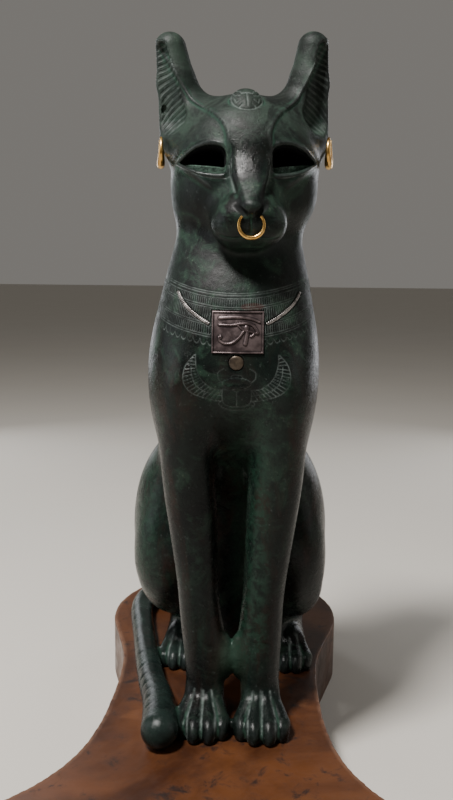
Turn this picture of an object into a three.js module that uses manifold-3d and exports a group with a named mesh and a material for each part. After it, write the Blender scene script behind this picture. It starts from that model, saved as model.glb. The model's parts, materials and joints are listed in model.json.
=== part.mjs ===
// Seated cat figure, a hollow bronze casting with gold rings, a silver breast plaque and
// a shaped plinth. Millimetres, Z up, the cat looks along -Y, origin under the plinth.
import * as THREE from 'three';
import Module from 'manifold-3d';

const wasm = await Module();
wasm.setup();

// Plinth
const plinthHeight = 45;
const plinthEase = 1;           // eased top edge
const plinthAxis = -11.9;       // the cat stands a little right of the plinth's middle line
const plinthRound = { y: 196, r: 91 };
const plinthHorn = { y: -86, half: 124, bow: 10 };
const plinthWaist = { from: 50, to: 90, half: 69 };
// Its side: shares of the way from horn to waist, and of the width still to lose; then from the
// waist to the round end, and of the width won back
const flare = [[0, 1], [0.19, 0.78], [0.3, 0.536], [0.41, 0.336], [0.566, 0.155], [0.765, 0.045], [1, 0]];
const swell = [[0, 0], [0.283, 0.159], [0.566, 0.545], [0.83, 0.927], [1, 1]];

// Air between the casting and the plinth, and round every piece set into it
const seatGap = 0.3;

// The trunk, a row for every step of height
const trunkRows = {
  step: 30,
  chest: [98, 88, 82, 79, 70, 52, 26, 12, 10.5, 18, 35, 46],
  spine: [226, 223, 216, 205, 190, 175, 160, 145, 128, 112, 98, 92],
  width: [40, 42, 44, 46, 47, 48, 49, 50, 49.5, 45.5, 37, 34],
  top: 326,
};
const spineNarrowing = 0.16;    // the section is egg shaped, slimmer over the spine

// The front leg, a row for every step of height
const legRows = {
  step: 12.5,
  aside: [17, 17, 17.2, 17, 17.2, 18.6, 19.8, 20.8, 21.9, 23, 24, 25.2, 26.3, 27, 27.5, 28, 28, 28,
    28],
  across: [12, 11.8, 12, 13, 13.8, 13.4, 12.8, 13, 13.6, 14.4, 15.3, 16, 16.6, 17.1, 17.5, 18,
    18, 17, 15],
  back: [32, 33, 34.5, 36.5, 37.5, 37.8, 38, 38.1, 38.3, 38.6, 39, 39.4, 40, 41, 42.2, 43.8, 45.8, 48,
    50],
  along: [11, 11.2, 11.6, 12.4, 12.5, 12.6, 12.8, 13.1, 13.6, 14.2, 15, 16.2, 17.8, 20, 23.2, 27, 31, 35,
    38],
  top: 232,
};
const shoulder = { x: 27, y: 60, z: 214, rx: 22, ry: 38, rz: 44, tilt: -0.25 };
const wristPad = { x: 4.2, y: 34, z: 41, rx: 5.6, ry: 6.5, rz: 15 };

// The hind leg
const thigh = { x: 42, y: 128, z: 98, rx: 27.5, ry: 50, rz: 62, tilt: 0.22 };
const knee = { x: 43, y: 98, z: 78, rx: 22, ry: 22, rz: 38, tilt: 0.25 };
const shin = { from: [43, 112, 60], to: [40, 170, 20], r0: 20, r1: 14 };
const foot = { from: [38, 188, 12], to: [39, 118, 12], r0: 13, r1: 12.5 };

// Paws: y is at the tips of the toes
const frontPaw = { x: 18.2, y: 0, size: 1 };
const hindPaw = { x: 39.5, y: 91, size: 0.92 };
const toe = { inner: 4.6, outer: 12.3, inBack: 8.5, outBack: 13.5, knuckle: 8.2, inR: 6, outR: 5.4 };
const toeTip = { z: 5, rx: 5, ry: 8.4, rz: 8 };
const pawBack = { y: 24, z: 3, rx: 15.2, ry: 20, rz: 15, wristY: 32, wristZ: 20.5, wristR: 4.4 };

// The tail lies round the cat's right side, from the rump to the front paw
const tailPath = [[0, 206, 24], [-20, 226, 15], [-48, 229, 10.5], [-70, 213, 9], [-79, 184, 8.2],
  [-70, 130, 7.6], [-56.4, 66, 8.4], [-46.8, 31, 10], [-42.4, -1.5, 10.8]];
const tailRadii = [12.5, 11.5, 10.2, 9.4, 8.8, 8.2, 8.9, 10.3, 11.2];

// The trunk leans this much for each millimetre back, as it was modelled by eye
const trunkLean = 0.052;
const leanFull = { from: 15, to: 80 };
const leanEnds = { from: 330, to: 200 };

// The head sits a little to one side and looks a little to the cat's left
const headPose = { aside: 2.6, turn: 0.095, slant: 0.035, neckY: 58, slantZ: 340 };
const skull = { x: 0, y: 60, z: 345, rx: 45, ry: 42, rz: 38 };
const jaw = { x: 0, y: 56, z: 323, rx: 42.5, ry: 33, rz: 26 };
const muzzle = { from: [0, 48, 328], to: [0, 22, 312], r0: 27, r1: 15 };
const lipPad = { x: 6.2, y: 19.4, z: 305.5, rx: 14, ry: 12.2, rz: 11.6 };
const noseTip = { x: 0, y: 6, z: 314.4, rx: 5.2, ry: 5.2, rz: 4.6 };
const nostril = { from: [3.6, 3.4, 311], to: [8.6, 5.6, 315.4], r0: 1.1, r1: 0.8 };
const noseRidge = { y: 2, z: 315, angle: 0.435, long: 62, back: 50 };
const brow = { z: 352.7, half: 12.2, curve: 0.03, nose: 5.8, taperFrom: 312, taperTo: 337, raised: 1.1,
  line: 0.7, farZ: 377.5, farHalf: 30.7, farSlope: 0.55 };
const ear = { from: [31.8, 66, 362], mid: [39.8, 63.2, 391], to: [42.4, 62, 410.6], r0: 20.2, rMid: 11.6,
  r1: 9 };
// its hollow, as shares of the ear's radius: how far out at foot and tip, how far up, how wide
const earOpen = { outFoot: 1.1, outTip: 0.98, upFoot: 0.46, upTip: -0.23, r: 0.6, x: 0.66, y: -0.75 };
const boss = { x: 0, y: 33.4, z: 374.4, rx: 9.6, ry: 5.2, rz: 10.6, tilt: -0.72 };

// The eye's almond, its shelf and the empty socket behind
const eye = { inner: 13, wide: 26, low: 334, peak: 9, rise: 15.8, fall: 8, drop: 2.6, lid: 0.8, shelf: 3.6,
  hollow: 3.5, back: 47 };
const cheek = { from: [39.5, 341], to: [17, 324], high: 2.1 };
const lips = { z: 299.6, half: 20, deep: 0.4 };

// Rings: wire thin at its ends, thick opposite them; gap is half the opening, in radians
const noseRing = { x: 7.9, y: 3.4, z: 304.7, middle: 6.9, thin: 0.75, thick: 1.2, gap: 0.84 };
const earRing = { x: 50.6, y: 58.5, z: 351.6, middle: 8.2, thin: 0.9, thick: 2.4, gap: 0.6, aslant: 0.16 };
const bedEase = 0.4;

// Breast plaque; the sun disc hangs below it and the cords rise from its sides
const plaque = { x: 0.9, z: 245.8, wide: 29.6, high: 23.8, proud: 1.1, deep: 1.3 };
const disc = { below: 0.9, aside: -0.6, r: 4.4, proud: 0.7, deep: 1.2 };
// the cords' line: out from the plaque's side and up from its middle, from the shoulder down
const cordLine = [[20.8, 22.2], [17.9, 16.9], [13.4, 12.2], [7.8, 8.1], [2.2, 4.8]];
const cord = { wide: 2.3, proud: 0.4, deep: 0.9 };
const discSpot = { x: plaque.x + disc.aside, z: plaque.z - plaque.high / 2 - disc.below - disc.r };

// Numbers of facets
const castingFacets = 6500;
const ringSteps = 26;
const ringSides = 8;
const plinthSteps = 34;

const clamp = (v, lo, hi) => Math.min(hi, Math.max(lo, v));
const ramp = (a, b, v) => {
  const t = clamp((v - a) / (b - a), 0, 1);
  return t * t * (3 - 2 * t);
};
const blend = (a, b, k) => {
  const h = clamp(0.5 + 0.5 * (b - a) / k, 0, 1);
  return b + (a - b) * h - k * h * (1 - h);
};
const carve = (a, b, k) => -blend(-a, b, k);          // a without b
const meet = (a, b, k) => -blend(-a, -b, k);          // where both are solid
const bell = (v, w) => Math.exp(-(v / w) * (v / w));

// Smooth value between rows spaced evenly in height
function rowValue(rows, t) {
  const i = clamp(Math.floor(t), 0, rows.length - 2);
  const f = clamp(t - i, 0, 1);
  const at = (j) => rows[clamp(i + j, 0, rows.length - 1)];
  const g = 1 - f;
  return (g * g * g * at(-1) + (3 * f * f * f - 6 * f * f + 4) * at(0)
    + (-3 * f * f * f + 3 * f * f + 3 * f + 1) * at(1) + f * f * f * at(2)) / 6;
}

// Each form below says how far a place is outside its skin, less than nothing inside
function egg(x, y, z, e) {
  x -= e.x; y -= e.y; z -= e.z;
  if (e.tilt) {
    const c = Math.cos(e.tilt), s = Math.sin(e.tilt);
    [y, z] = [c * y + s * z, -s * y + c * z];
  }
  const k0 = Math.hypot(x / e.rx, y / e.ry, z / e.rz) + 1e-6;
  const k1 = Math.hypot(x / (e.rx * e.rx), y / (e.ry * e.ry), z / (e.rz * e.rz)) + 1e-9;
  return k0 * (k0 - 1) / k1;
}

function bar(x, y, z, b) {
  const [ax, ay, az] = b.from;
  const dx = b.to[0] - ax, dy = b.to[1] - ay, dz = b.to[2] - az;
  x -= ax; y -= ay; z -= az;
  const t = clamp((x * dx + y * dy + z * dz) / (dx * dx + dy * dy + dz * dz), 0, 1);
  return Math.hypot(x - t * dx, y - t * dy, z - t * dz) - (b.r0 + (b.r1 - b.r0) * t);
}

function oval(u, v, a, b) {
  const k0 = Math.hypot(u / a, v / b) + 1e-6;
  const k1 = Math.hypot(u / (a * a), v / (b * b)) + 1e-9;
  return k0 * (k0 - 1) / k1;
}

function trunk(x, y, z) {
  const t = z / trunkRows.step;
  const front = rowValue(trunkRows.chest, t), back = rowValue(trunkRows.spine, t);
  const v = y - (front + back) / 2, b = (back - front) / 2;
  const a = rowValue(trunkRows.width, t) * (1 - spineNarrowing * clamp(v / b, -1.3, 1.3));
  return Math.max(oval(x, v, a, b), z - trunkRows.top);
}

function frontLeg(x, y, z) {
  const t = z / legRows.step;
  const d = oval(x - rowValue(legRows.aside, t), y - rowValue(legRows.back, t),
    rowValue(legRows.across, t), rowValue(legRows.along, t));
  return meet(d, z - legRows.top, 24);
}

// Four toes in ridges that run up to the wrist
const pawForms = (paw) => {
  const s = paw.size;
  const back = { x: paw.x, y: paw.y + pawBack.y * s, z: pawBack.z, rx: pawBack.rx * s, ry: pawBack.ry * s,
    rz: pawBack.rz * s };
  const toes = [-toe.outer, -toe.inner, toe.inner, toe.outer].map((off) => {
    const inner = Math.abs(off) === toe.inner;
    const x = paw.x + off * s;
    const y = paw.y + (inner ? toe.inBack : toe.outBack) * s;
    const wrist = [paw.x + off * 0.4 * s, paw.y + pawBack.wristY * s, pawBack.wristZ * s];
    const ridge = { from: [x, y, toe.knuckle * s], to: wrist, r0: (inner ? toe.inR : toe.outR) * s,
      r1: pawBack.wristR * s };
    const tip = { x, y: y - s, z: toeTip.z * s, rx: toeTip.rx * s, ry: toeTip.ry * s, rz: toeTip.rz * s };
    return [ridge, tip];
  });
  return { back, toes, top: (pawBack.wristZ + 24) * s };
};
const frontPawForms = pawForms(frontPaw);
const hindPawForms = pawForms(hindPaw);

function pawSkin(x, y, z, forms) {
  let d = egg(x, y, z, forms.back);
  for (const [ridge, tip] of forms.toes) {
    d = blend(d, blend(bar(x, y, z, ridge), egg(x, y, z, tip), 1.5), 1.3);
  }
  return d;
}

// Outline of the eye seen from the front
function eyeOutline(ax, z) {
  const u = ax - eye.inner, v = z - eye.low;
  const near = eye.peak, far = eye.wide - near;
  const top = eye.rise - (u > near ? eye.fall * ((u - near) / far) ** 2
    : eye.drop * ((near - u) / near) ** 2);
  const low = (eye.rise - eye.fall) * Math.sign(u) * (Math.abs(u) / eye.wide) ** 2.4;
  return meet(meet((v - top) * 0.9, (low - v) * 0.93, 1.2), -u, 3);
}

// Half the width between the lines that run from the ears down beside the nose
function browLine(z) {
  if (z < brow.z) return brow.nose + (brow.half - brow.nose) * ramp(brow.taperFrom, brow.taperTo, z);
  const far = brow.farHalf + brow.farSlope * (z - brow.farZ);
  return blend(brow.half + brow.curve * (z - brow.z) ** 2, far, 4);
}

const earBars = [{ from: ear.from, to: ear.mid, r0: ear.r0, r1: ear.rMid },
  { from: ear.mid, to: ear.to, r0: ear.rMid, r1: ear.r1 }];

// The hollow in the front of the ear follows it from foot to tip
const earHollow = (() => {
  const shift = (p, r, out, up) => [p[0] + earOpen.x * out * r, p[1] + earOpen.y * out * r, p[2] + up * r];
  return { from: shift(ear.from, ear.r0, earOpen.outFoot, earOpen.upFoot),
    to: shift(ear.to, ear.r1, earOpen.outTip, earOpen.upTip),
    r0: ear.r0 * earOpen.r, r1: ear.r1 * earOpen.r };
})();

function nose(x, y, z) {
  const { angle } = noseRidge;
  const up = (z - noseRidge.z) * Math.cos(angle) + (y - noseRidge.y) * Math.sin(angle);
  const out = (z - noseRidge.z) * Math.sin(angle) - (y - noseRidge.y) * Math.cos(angle);
  let d = meet(meet(Math.abs(x) - browLine(z) + 1.2, out + 0.014 * x * x, 4.5), -up - 1, 4);
  d = meet(meet(d, up - noseRidge.long, 8), y - noseRidge.back, 4);
  return d;
}

function head(wx, y, z) {
  const pose = headPose;
  const x = wx - pose.aside + pose.slant * clamp(z - pose.slantZ, 0, 80)
    - pose.turn * clamp(pose.neckY - y, 0, 70);
  const ax = Math.abs(x);
  let d = blend(egg(x, y, z, skull), egg(x, y, z, jaw), 10);
  d = blend(d, bar(x, y, z, muzzle), 8);
  d = blend(d, egg(ax, y, z, lipPad), 14);
  d = blend(d, nose(x, y, z), 3.4);
  d = blend(d, egg(x, y, z, noseTip), 2.2);
  d = carve(d, bar(ax, y, z, nostril), 1.4);
  // a wide fillet inside, towards the crown, and a narrow one outside
  const ears = blend(bar(ax, y, z, earBars[0]), bar(ax, y, z, earBars[1]), 3);
  d = blend(d, ears, 7 + 6 * ramp(38, 28, ax));
  d = carve(d, bar(ax, y, z, earHollow), 2.6);
  // raised forehead between the brow lines
  const edge = browLine(z) - ax;
  const frontOf = ramp(skull.y + 2, skull.y - 16, y) * ramp(brow.z - 13, brow.z + 7, z);
  d -= (brow.raised * ramp(-1, 1.4, edge) + brow.line * bell(edge - 0.3, 1.3)) * frontOf;
  const face = ramp(skull.y - 10, skull.y - 18, y);
  if (face > 0) {
    // ridge of the cheek below the eye, then the lid
    const [ux, uz] = cheek.from, [vx, vz] = cheek.to;
    const run = Math.hypot(vx - ux, vz - uz);
    const tx = (vx - ux) / run, tz = (vz - uz) / run;
    const along = (ax - ux) * tx + (z - uz) * tz;
    const across = (ax - ux) * tz - (z - uz) * tx;
    const fade = ramp(-1, 8, along) * ramp(run + 1, run - 12, along);
    d -= cheek.high * (across > 0 ? Math.exp(-across / 5) : bell(across, 2)) * fade * face;
    const e = eyeOutline(ax, z);
    d -= eye.lid * bell(e - 1.5, 1.4) * face * ramp(eye.inner - 0.5, eye.inner + 4, ax);
    // the eye is a shallow shelf below and an empty socket above
    const bulge = clamp(1 - (x / skull.rx) ** 2 - ((z - skull.z) / skull.rz) ** 2, 0.02, 1);
    const skin = skull.y - skull.ry * Math.sqrt(bulge);
    d = carve(d, meet(e, y - skin - eye.shelf, 0.8), 0.9);
    const above = eye.low + eye.hollow + 0.15 * (ax - eye.inner) - z;
    d = carve(d, meet(meet(e + 0.6, above, 1), y - eye.back, 2), 0.9);
  }
  // crease beside the muzzle, and the line of the lips
  const q = Math.hypot((ax - lipPad.x) / (lipPad.rx + 1.6), (z - lipPad.z - 0.5) / (lipPad.rz + 1));
  const low = lips.z - 5.6;
  d += 0.2 * bell(q - 1.14, 0.14) * ramp(36, 26, y) * ramp(4, 9, ax) * ramp(low, low + 5, z);
  const t = clamp(ax / lips.half, 0, 1);
  const lip = z - (lips.z - 2.2 * Math.sin(t * Math.PI) + 1.4 * t * t);
  d += lips.deep * bell(lip, 0.8) * ramp(32, 26, y) * ramp(lips.half - 1, lips.half - 5, ax);
  const philtrum = ramp(lips.z - 0.6, lips.z + 1.4, z) * ramp(noseTip.z - 2, noseTip.z - 5, z);
  d += lips.deep * bell(x, 0.8) * philtrum * ramp(20, 14, y);
  return blend(d, egg(x, y, z, boss), 1);
}

// The tail as short bars along a smooth curve through tailPath
const tailBars = (() => {
  const path = tailPath.map((p) => new THREE.Vector3(...p));
  const curve = new THREE.CatmullRomCurve3(path, false, 'catmullrom', 0.5);
  const steps = 40;
  const radius = (t) => {
    const j = Math.min(Math.floor(t), tailRadii.length - 2);
    return tailRadii[j] + (tailRadii[j + 1] - tailRadii[j]) * (t - j);
  };
  const bars = [];
  for (let i = 0; i < steps; i += 1) {
    const t0 = i / steps, t1 = (i + 1) / steps, last = tailRadii.length - 1;
    bars.push({ from: curve.getPoint(t0).toArray(), to: curve.getPoint(t1).toArray(),
      r0: radius(t0 * last), r1: radius(t1 * last) });
  }
  return bars;
})();
const tailTop = Math.max(...tailPath.map((p, i) => p[2] + tailRadii[i])) + 24;
const tail = (x, y, z) => tailBars.reduce((d, b) => Math.min(d, bar(x, y, z, b)), tailTop);

const lean = (y, z) => -trunkLean * y * (0.15 + 0.85 * ramp(leanFull.from, leanFull.to, z))
  * ramp(leanEnds.from, leanEnds.to, z);

function catForm(wx, y, z) {
  const x = wx - lean(y, z), ax = Math.abs(x);
  let d = trunk(x, y, z);
  d = blend(d, egg(ax, y, z, shoulder), 16);
  d = blend(d, frontLeg(ax, y, z), 10);
  if (z < wristPad.z + wristPad.rz + 20) d = blend(d, egg(ax, y, z, wristPad), 3);
  if (z < frontPawForms.top) d = blend(d, pawSkin(ax, y, z, frontPawForms), 5);
  d = blend(d, egg(ax, y, z, thigh), 16);
  d = blend(d, egg(ax, y, z, knee), 12);
  d = blend(d, bar(ax, y, z, shin), 8);
  d = blend(d, bar(ax, y, z, foot), 6);
  if (z < hindPawForms.top) d = blend(d, pawSkin(ax, y, z, hindPawForms), 3);
  if (z > jaw.z - 63) d = blend(d, head(wx, y, z), 12);
  if (z < tailTop) d = blend(d, tail(wx, y, z), 3);
  return Math.max(d, -z);
}

// How far the form reaches at each height, from a coarse look
function reachOf(form, top) {
  const step = top / 42;
  const looks = [];
  for (let z = 0; z < top + step; z += step) {
    const reach = [Infinity, -Infinity, Infinity, -Infinity];
    for (let x = -0.4 * top; x < 0.4 * top; x += step) {
      for (let y = -0.2 * top; y < 0.85 * top; y += step) {
        if (form(x, y, z) > step) continue;
        reach[0] = Math.min(reach[0], x - step);
        reach[1] = Math.max(reach[1], x + step);
        reach[2] = Math.min(reach[2], y - step);
        reach[3] = Math.max(reach[3], y + step);
      }
    }
    looks.push(reach[0] < reach[1] ? reach : looks[looks.length - 1]);
  }
  // the widest of the heights around, so that the grid changes its width gently
  const wide = looks.map((r, i) => r.map((v, c) => {
    const around = [-2, -1, 0, 1, 2].map((o) => looks[clamp(i + o, 0, looks.length - 1)][c]);
    return c % 2 ? Math.max(...around) : Math.min(...around);
  }));
  return (z) => {
    const t = clamp(z / step, 0, wide.length - 1.001), i = Math.floor(t);
    return wide[i].map((v, c) => v + (wide[i + 1][c] - v) * (t - i));
  };
}

// Skin of the form over a grid that is finer at the head and the feet and follows the figure's
// reach, one vertex in every cell the surface crosses
function skinOf(form) {
  const top = ear.to[2] + ear.r1 + 4;
  const reach = reachOf(form, top);
  const fine = (z) => 3.6 - 1.4 * ramp(60, 35, z) - 1.8 * ramp(jaw.z - 48, jaw.z - 28, z);
  const zs = [-4];
  while (zs[zs.length - 1] < top) zs.push(zs[zs.length - 1] + fine(zs[zs.length - 1]));
  const nx = 78, ny = 88, nz = zs.length;
  const spans = zs.map((z) => reach(Math.max(z, 0)));
  const spot = (i, j, k) => {
    const [x0, x1, y0, y1] = spans[k];
    return [x0 + (x1 - x0) * i / (nx - 1), y0 + (y1 - y0) * j / (ny - 1), zs[k]];
  };
  const at = (i, j, k) => (i * ny + j) * nz + k;
  const value = new Float32Array(nx * ny * nz);
  const rim = (i, n) => i === 0 || i === n - 1;
  for (let i = 0; i < nx; i += 1) {
    for (let j = 0; j < ny; j += 1) {
      for (let k = 0; k < nz; k += 1) {
        const v = form(...spot(i, j, k));
        value[at(i, j, k)] = rim(i, nx) || rim(j, ny) || rim(k, nz) ? Math.max(v, 0.05) : v;
      }
    }
  }
  // where the signs round a face or across a cell alternate the skin would pinch, so fill a corner
  const fill = (list) => {
    const open = list.filter((c) => value[c] >= 0).sort((a, b) => value[a] - value[b]);
    value[open[0]] = -0.02;
  };
  for (let pinched = true; pinched;) {
    pinched = false;
    for (let i = 0; i + 1 < nx; i += 1) {
      for (let j = 0; j + 1 < ny; j += 1) {
        for (let k = 0; k + 1 < nz; k += 1) {
          const o = at(i, j, k), dx = ny * nz, dy = nz, dz = 1;
          const faces = [[o, o + dx, o + dy, o + dx + dy], [o, o + dx, o + dz, o + dx + dz],
            [o, o + dy, o + dz, o + dy + dz]];
          for (const q of faces) {
            const s = q.map((c) => value[c] < 0);
            if (s[0] === s[3] && s[1] === s[2] && s[0] !== s[1]) {
              fill(q);
              pinched = true;
            }
          }
          const all = [...faces[0], o + dz, o + dx + dz, o + dy + dz, o + dx + dy + dz];
          const solid = all.map((c) => value[c] < 0);
          const count = solid.filter(Boolean).length;
          if (count !== 2 && count !== 6) continue;
          for (let c = 0; c < 4; c += 1) {
            if (solid[c] === (count === 2) && solid[7 - c] === (count === 2)) {
              fill(all);
              pinched = true;
            }
          }
        }
      }
    }
  }
  const cell = new Int32Array(nx * ny * nz).fill(-1);
  const points = [];
  const corners = [0, 1, 2, 3, 4, 5, 6, 7].map((c) => [c & 1, c >> 1 & 1, c >> 2]);
  const edges = [];
  for (let a = 0; a < 8; a += 1) for (const bit of [1, 2, 4]) if (!(a & bit)) edges.push([a, a | bit]);
  for (let i = 0; i + 1 < nx; i += 1) {
    for (let j = 0; j + 1 < ny; j += 1) {
      for (let k = 0; k + 1 < nz; k += 1) {
        let inside = 0;
        for (const c of corners) if (value[at(i + c[0], j + c[1], k + c[2])] < 0) inside += 1;
        if (inside === 0 || inside === 8) continue;
        let sx = 0, sy = 0, sz = 0, n = 0;
        for (const [a, b] of edges) {
          const ca = corners[a], cb = corners[b];
          const fa = value[at(i + ca[0], j + ca[1], k + ca[2])];
          const fb = value[at(i + cb[0], j + cb[1], k + cb[2])];
          if (fa < 0 === fb < 0) continue;
          const pa = spot(i + ca[0], j + ca[1], k + ca[2]), pb = spot(i + cb[0], j + cb[1], k + cb[2]);
          const t = fa / (fa - fb);
          sx += pa[0] + (pb[0] - pa[0]) * t;
          sy += pa[1] + (pb[1] - pa[1]) * t;
          sz += pa[2] + (pb[2] - pa[2]) * t;
          n += 1;
        }
        cell[at(i, j, k)] = points.length / 3;
        points.push(sx / n, sy / n, sz / n);
      }
    }
  }
  const faces = [];
  const quad = (a, b, c, d, turn) => {
    if (turn) faces.push(a, c, b, a, d, c); else faces.push(a, b, c, a, c, d);
  };
  for (let i = 1; i + 1 < nx; i += 1) {
    for (let j = 1; j + 1 < ny; j += 1) {
      for (let k = 1; k + 1 < nz; k += 1) {
        const here = value[at(i, j, k)] < 0;
        const near = (a, b, c) => cell[at(i - a, j - b, k - c)];
        if (here !== value[at(i + 1, j, k)] < 0) {
          quad(near(0, 0, 0), near(0, 1, 0), near(0, 1, 1), near(0, 0, 1), !here);
        }
        if (here !== value[at(i, j + 1, k)] < 0) {
          quad(near(0, 0, 0), near(0, 0, 1), near(1, 0, 1), near(1, 0, 0), !here);
        }
        if (here !== value[at(i, j, k + 1)] < 0) {
          quad(near(0, 0, 0), near(1, 0, 0), near(1, 1, 0), near(0, 1, 0), !here);
        }
      }
    }
  }
  return { points: Float64Array.from(points), faces: Int32Array.from(faces) };
}

// Fewer facets: the edge whose loss changes the form least goes first. weight(x, y, z) says how
// much a region's shape counts.
function thinOut(mesh, target, weight) {
  const { points: p, faces: f } = mesh;
  const nv = p.length / 3, nf = f.length / 3;
  const q = new Float64Array(nv * 10);
  const alive = new Uint8Array(nf).fill(1);
  const fan = Array.from({ length: nv }, () => new Set());
  const normal = (a, b, c) => {
    const ux = p[b * 3] - p[a * 3], uy = p[b * 3 + 1] - p[a * 3 + 1], uz = p[b * 3 + 2] - p[a * 3 + 2];
    const vx = p[c * 3] - p[a * 3], vy = p[c * 3 + 1] - p[a * 3 + 1], vz = p[c * 3 + 2] - p[a * 3 + 2];
    return [uy * vz - uz * vy, uz * vx - ux * vz, ux * vy - uy * vx];
  };
  for (let t = 0; t < nf; t += 1) {
    const [a, b, c] = [f[t * 3], f[t * 3 + 1], f[t * 3 + 2]];
    const n = normal(a, b, c), l = Math.hypot(...n) || 1e-12;
    const [x, y, z] = n.map((v) => v / l);
    const w = -(x * p[a * 3] + y * p[a * 3 + 1] + z * p[a * 3 + 2]);
    const area = l / 2 * weight(p[a * 3], p[a * 3 + 1], p[a * 3 + 2]);
    const add = [x * x, x * y, x * z, x * w, y * y, y * z, y * w, z * z, z * w, w * w];
    for (const v of [a, b, c]) {
      fan[v].add(t);
      for (let i = 0; i < 10; i += 1) q[v * 10 + i] += add[i] * area;
    }
  }
  const stamp = new Int32Array(nv);
  const heap = [];
  const push = (e) => {
    let i = heap.push(e) - 1;
    while (i > 0) {
      const up = (i - 1) >> 1;
      if (heap[up].cost <= e.cost) break;
      heap[i] = heap[up];
      i = up;
    }
    heap[i] = e;
  };
  const pop = () => {
    const first = heap[0], last = heap.pop();
    if (heap.length) {
      let i = 0;
      for (;;) {
        let kid = i * 2 + 1;
        if (kid >= heap.length) break;
        if (kid + 1 < heap.length && heap[kid + 1].cost < heap[kid].cost) kid += 1;
        if (heap[kid].cost >= last.cost) break;
        heap[i] = heap[kid];
        i = kid;
      }
      heap[i] = last;
    }
    return first;
  };
  const rate = (a, b) => {
    const s = new Array(10);
    for (let i = 0; i < 10; i += 1) s[i] = q[a * 10 + i] + q[b * 10 + i];
    const cost = (x, y, z) => s[0] * x * x + s[4] * y * y + s[7] * z * z + s[9]
      + 2 * (s[1] * x * y + s[2] * x * z + s[5] * y * z + s[3] * x + s[6] * y + s[8] * z);
    const mid = [0, 1, 2].map((i) => (p[a * 3 + i] + p[b * 3 + i]) / 2);
    const gap = Math.hypot(p[a * 3] - p[b * 3], p[a * 3 + 1] - p[b * 3 + 1], p[a * 3 + 2] - p[b * 3 + 2]);
    // a weak pull to the middle keeps the system solvable on flat ground
    const e = 1e-3 * (s[0] + s[4] + s[7]);
    const m = [s[0] + e, s[1], s[2], s[4] + e, s[5], s[7] + e];
    const r = [e * mid[0] - s[3], e * mid[1] - s[6], e * mid[2] - s[8]];
    const c0 = m[3] * m[5] - m[4] * m[4], c1 = m[2] * m[4] - m[1] * m[5], c2 = m[1] * m[4] - m[2] * m[3];
    const det = m[0] * c0 + m[1] * c1 + m[2] * c2;
    let best = mid;
    if (Math.abs(det) > 1e-12) {
      const c3 = m[0] * m[5] - m[2] * m[2], c4 = m[1] * m[2] - m[0] * m[4], c5 = m[0] * m[3] - m[1] * m[1];
      const x = (c0 * r[0] + c1 * r[1] + c2 * r[2]) / det;
      const y = (c1 * r[0] + c3 * r[1] + c4 * r[2]) / det;
      const z = (c2 * r[0] + c4 * r[1] + c5 * r[2]) / det;
      if (Math.hypot(x - mid[0], y - mid[1], z - mid[2]) < gap * 1.2) best = [x, y, Math.max(z, 0)];
    }
    return { cost: cost(...best) + 2e-4 * gap * gap * gap, a, b, at: best, sa: stamp[a], sb: stamp[b] };
  };
  const ring = (v) => {
    const set = new Set();
    for (const t of fan[v]) for (let i = 0; i < 3; i += 1) set.add(f[t * 3 + i]);
    set.delete(v);
    return set;
  };
  for (let t = 0; t < nf; t += 1) {
    for (let i = 0; i < 3; i += 1) {
      const a = f[t * 3 + i], b = f[t * 3 + (i + 1) % 3];
      if (a < b) push(rate(a, b));
    }
  }
  const holds = (v, other, at) => {
    for (const t of fan[v]) {
      const c = [f[t * 3], f[t * 3 + 1], f[t * 3 + 2]];
      if (c.includes(other)) continue;
      const old = normal(...c);
      const keep = [p[v * 3], p[v * 3 + 1], p[v * 3 + 2]];
      [p[v * 3], p[v * 3 + 1], p[v * 3 + 2]] = at;
      const now = normal(...c);
      let long = 0;
      for (let i = 0; i < 3; i += 1) {
        const a = c[i] * 3, b = c[(i + 1) % 3] * 3;
        long = Math.max(long, (p[a] - p[b]) ** 2 + (p[a + 1] - p[b + 1]) ** 2 + (p[a + 2] - p[b + 2]) ** 2);
      }
      [p[v * 3], p[v * 3 + 1], p[v * 3 + 2]] = keep;
      const ln = Math.hypot(...now), lo = Math.hypot(...old);
      if (ln < 0.08 * long) return false;
      if (now[0] * old[0] + now[1] * old[1] + now[2] * old[2] < 0.35 * ln * lo) return false;
    }
    return true;
  };
  let left = nf;
  while (left > target && heap.length) {
    const e = pop();
    const { a, b } = e;
    if (e.sa !== stamp[a] || e.sb !== stamp[b]) continue;
    const ra = ring(a), rb = ring(b);
    let shared = 0;
    for (const v of ra) if (rb.has(v)) shared += 1;
    if (shared !== 2 || !holds(a, b, e.at) || !holds(b, a, e.at)) continue;
    [p[a * 3], p[a * 3 + 1], p[a * 3 + 2]] = e.at;
    for (const t of [...fan[b]]) {
      const c = [f[t * 3], f[t * 3 + 1], f[t * 3 + 2]];
      if (c.includes(a)) {
        alive[t] = 0;
        left -= 1;
        for (const v of c) fan[v].delete(t);
      } else {
        for (let i = 0; i < 3; i += 1) if (f[t * 3 + i] === b) f[t * 3 + i] = a;
        fan[a].add(t);
      }
    }
    for (let i = 0; i < 10; i += 1) q[a * 10 + i] += q[b * 10 + i];
    fan[b].clear();
    stamp[b] = -1;
    stamp[a] += 1;
    for (const v of ring(a)) push(rate(a, v));
  }
  const index = new Map(), points = [], faces = [];
  for (let t = 0; t < nf; t += 1) {
    if (!alive[t]) continue;
    for (let i = 0; i < 3; i += 1) {
      const v = f[t * 3 + i];
      if (!index.has(v)) {
        index.set(v, index.size);
        points.push(p[v * 3], p[v * 3 + 1], p[v * 3 + 2]);
      }
      faces.push(index.get(v));
    }
  }
  return { points: Float64Array.from(points), faces: Int32Array.from(faces) };
}

const solidOf = ({ points, faces }) => new wasm.Manifold(new wasm.Mesh({
  numProp: 3, vertProperties: Float32Array.from(points), triVerts: Uint32Array.from(faces),
}));

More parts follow.
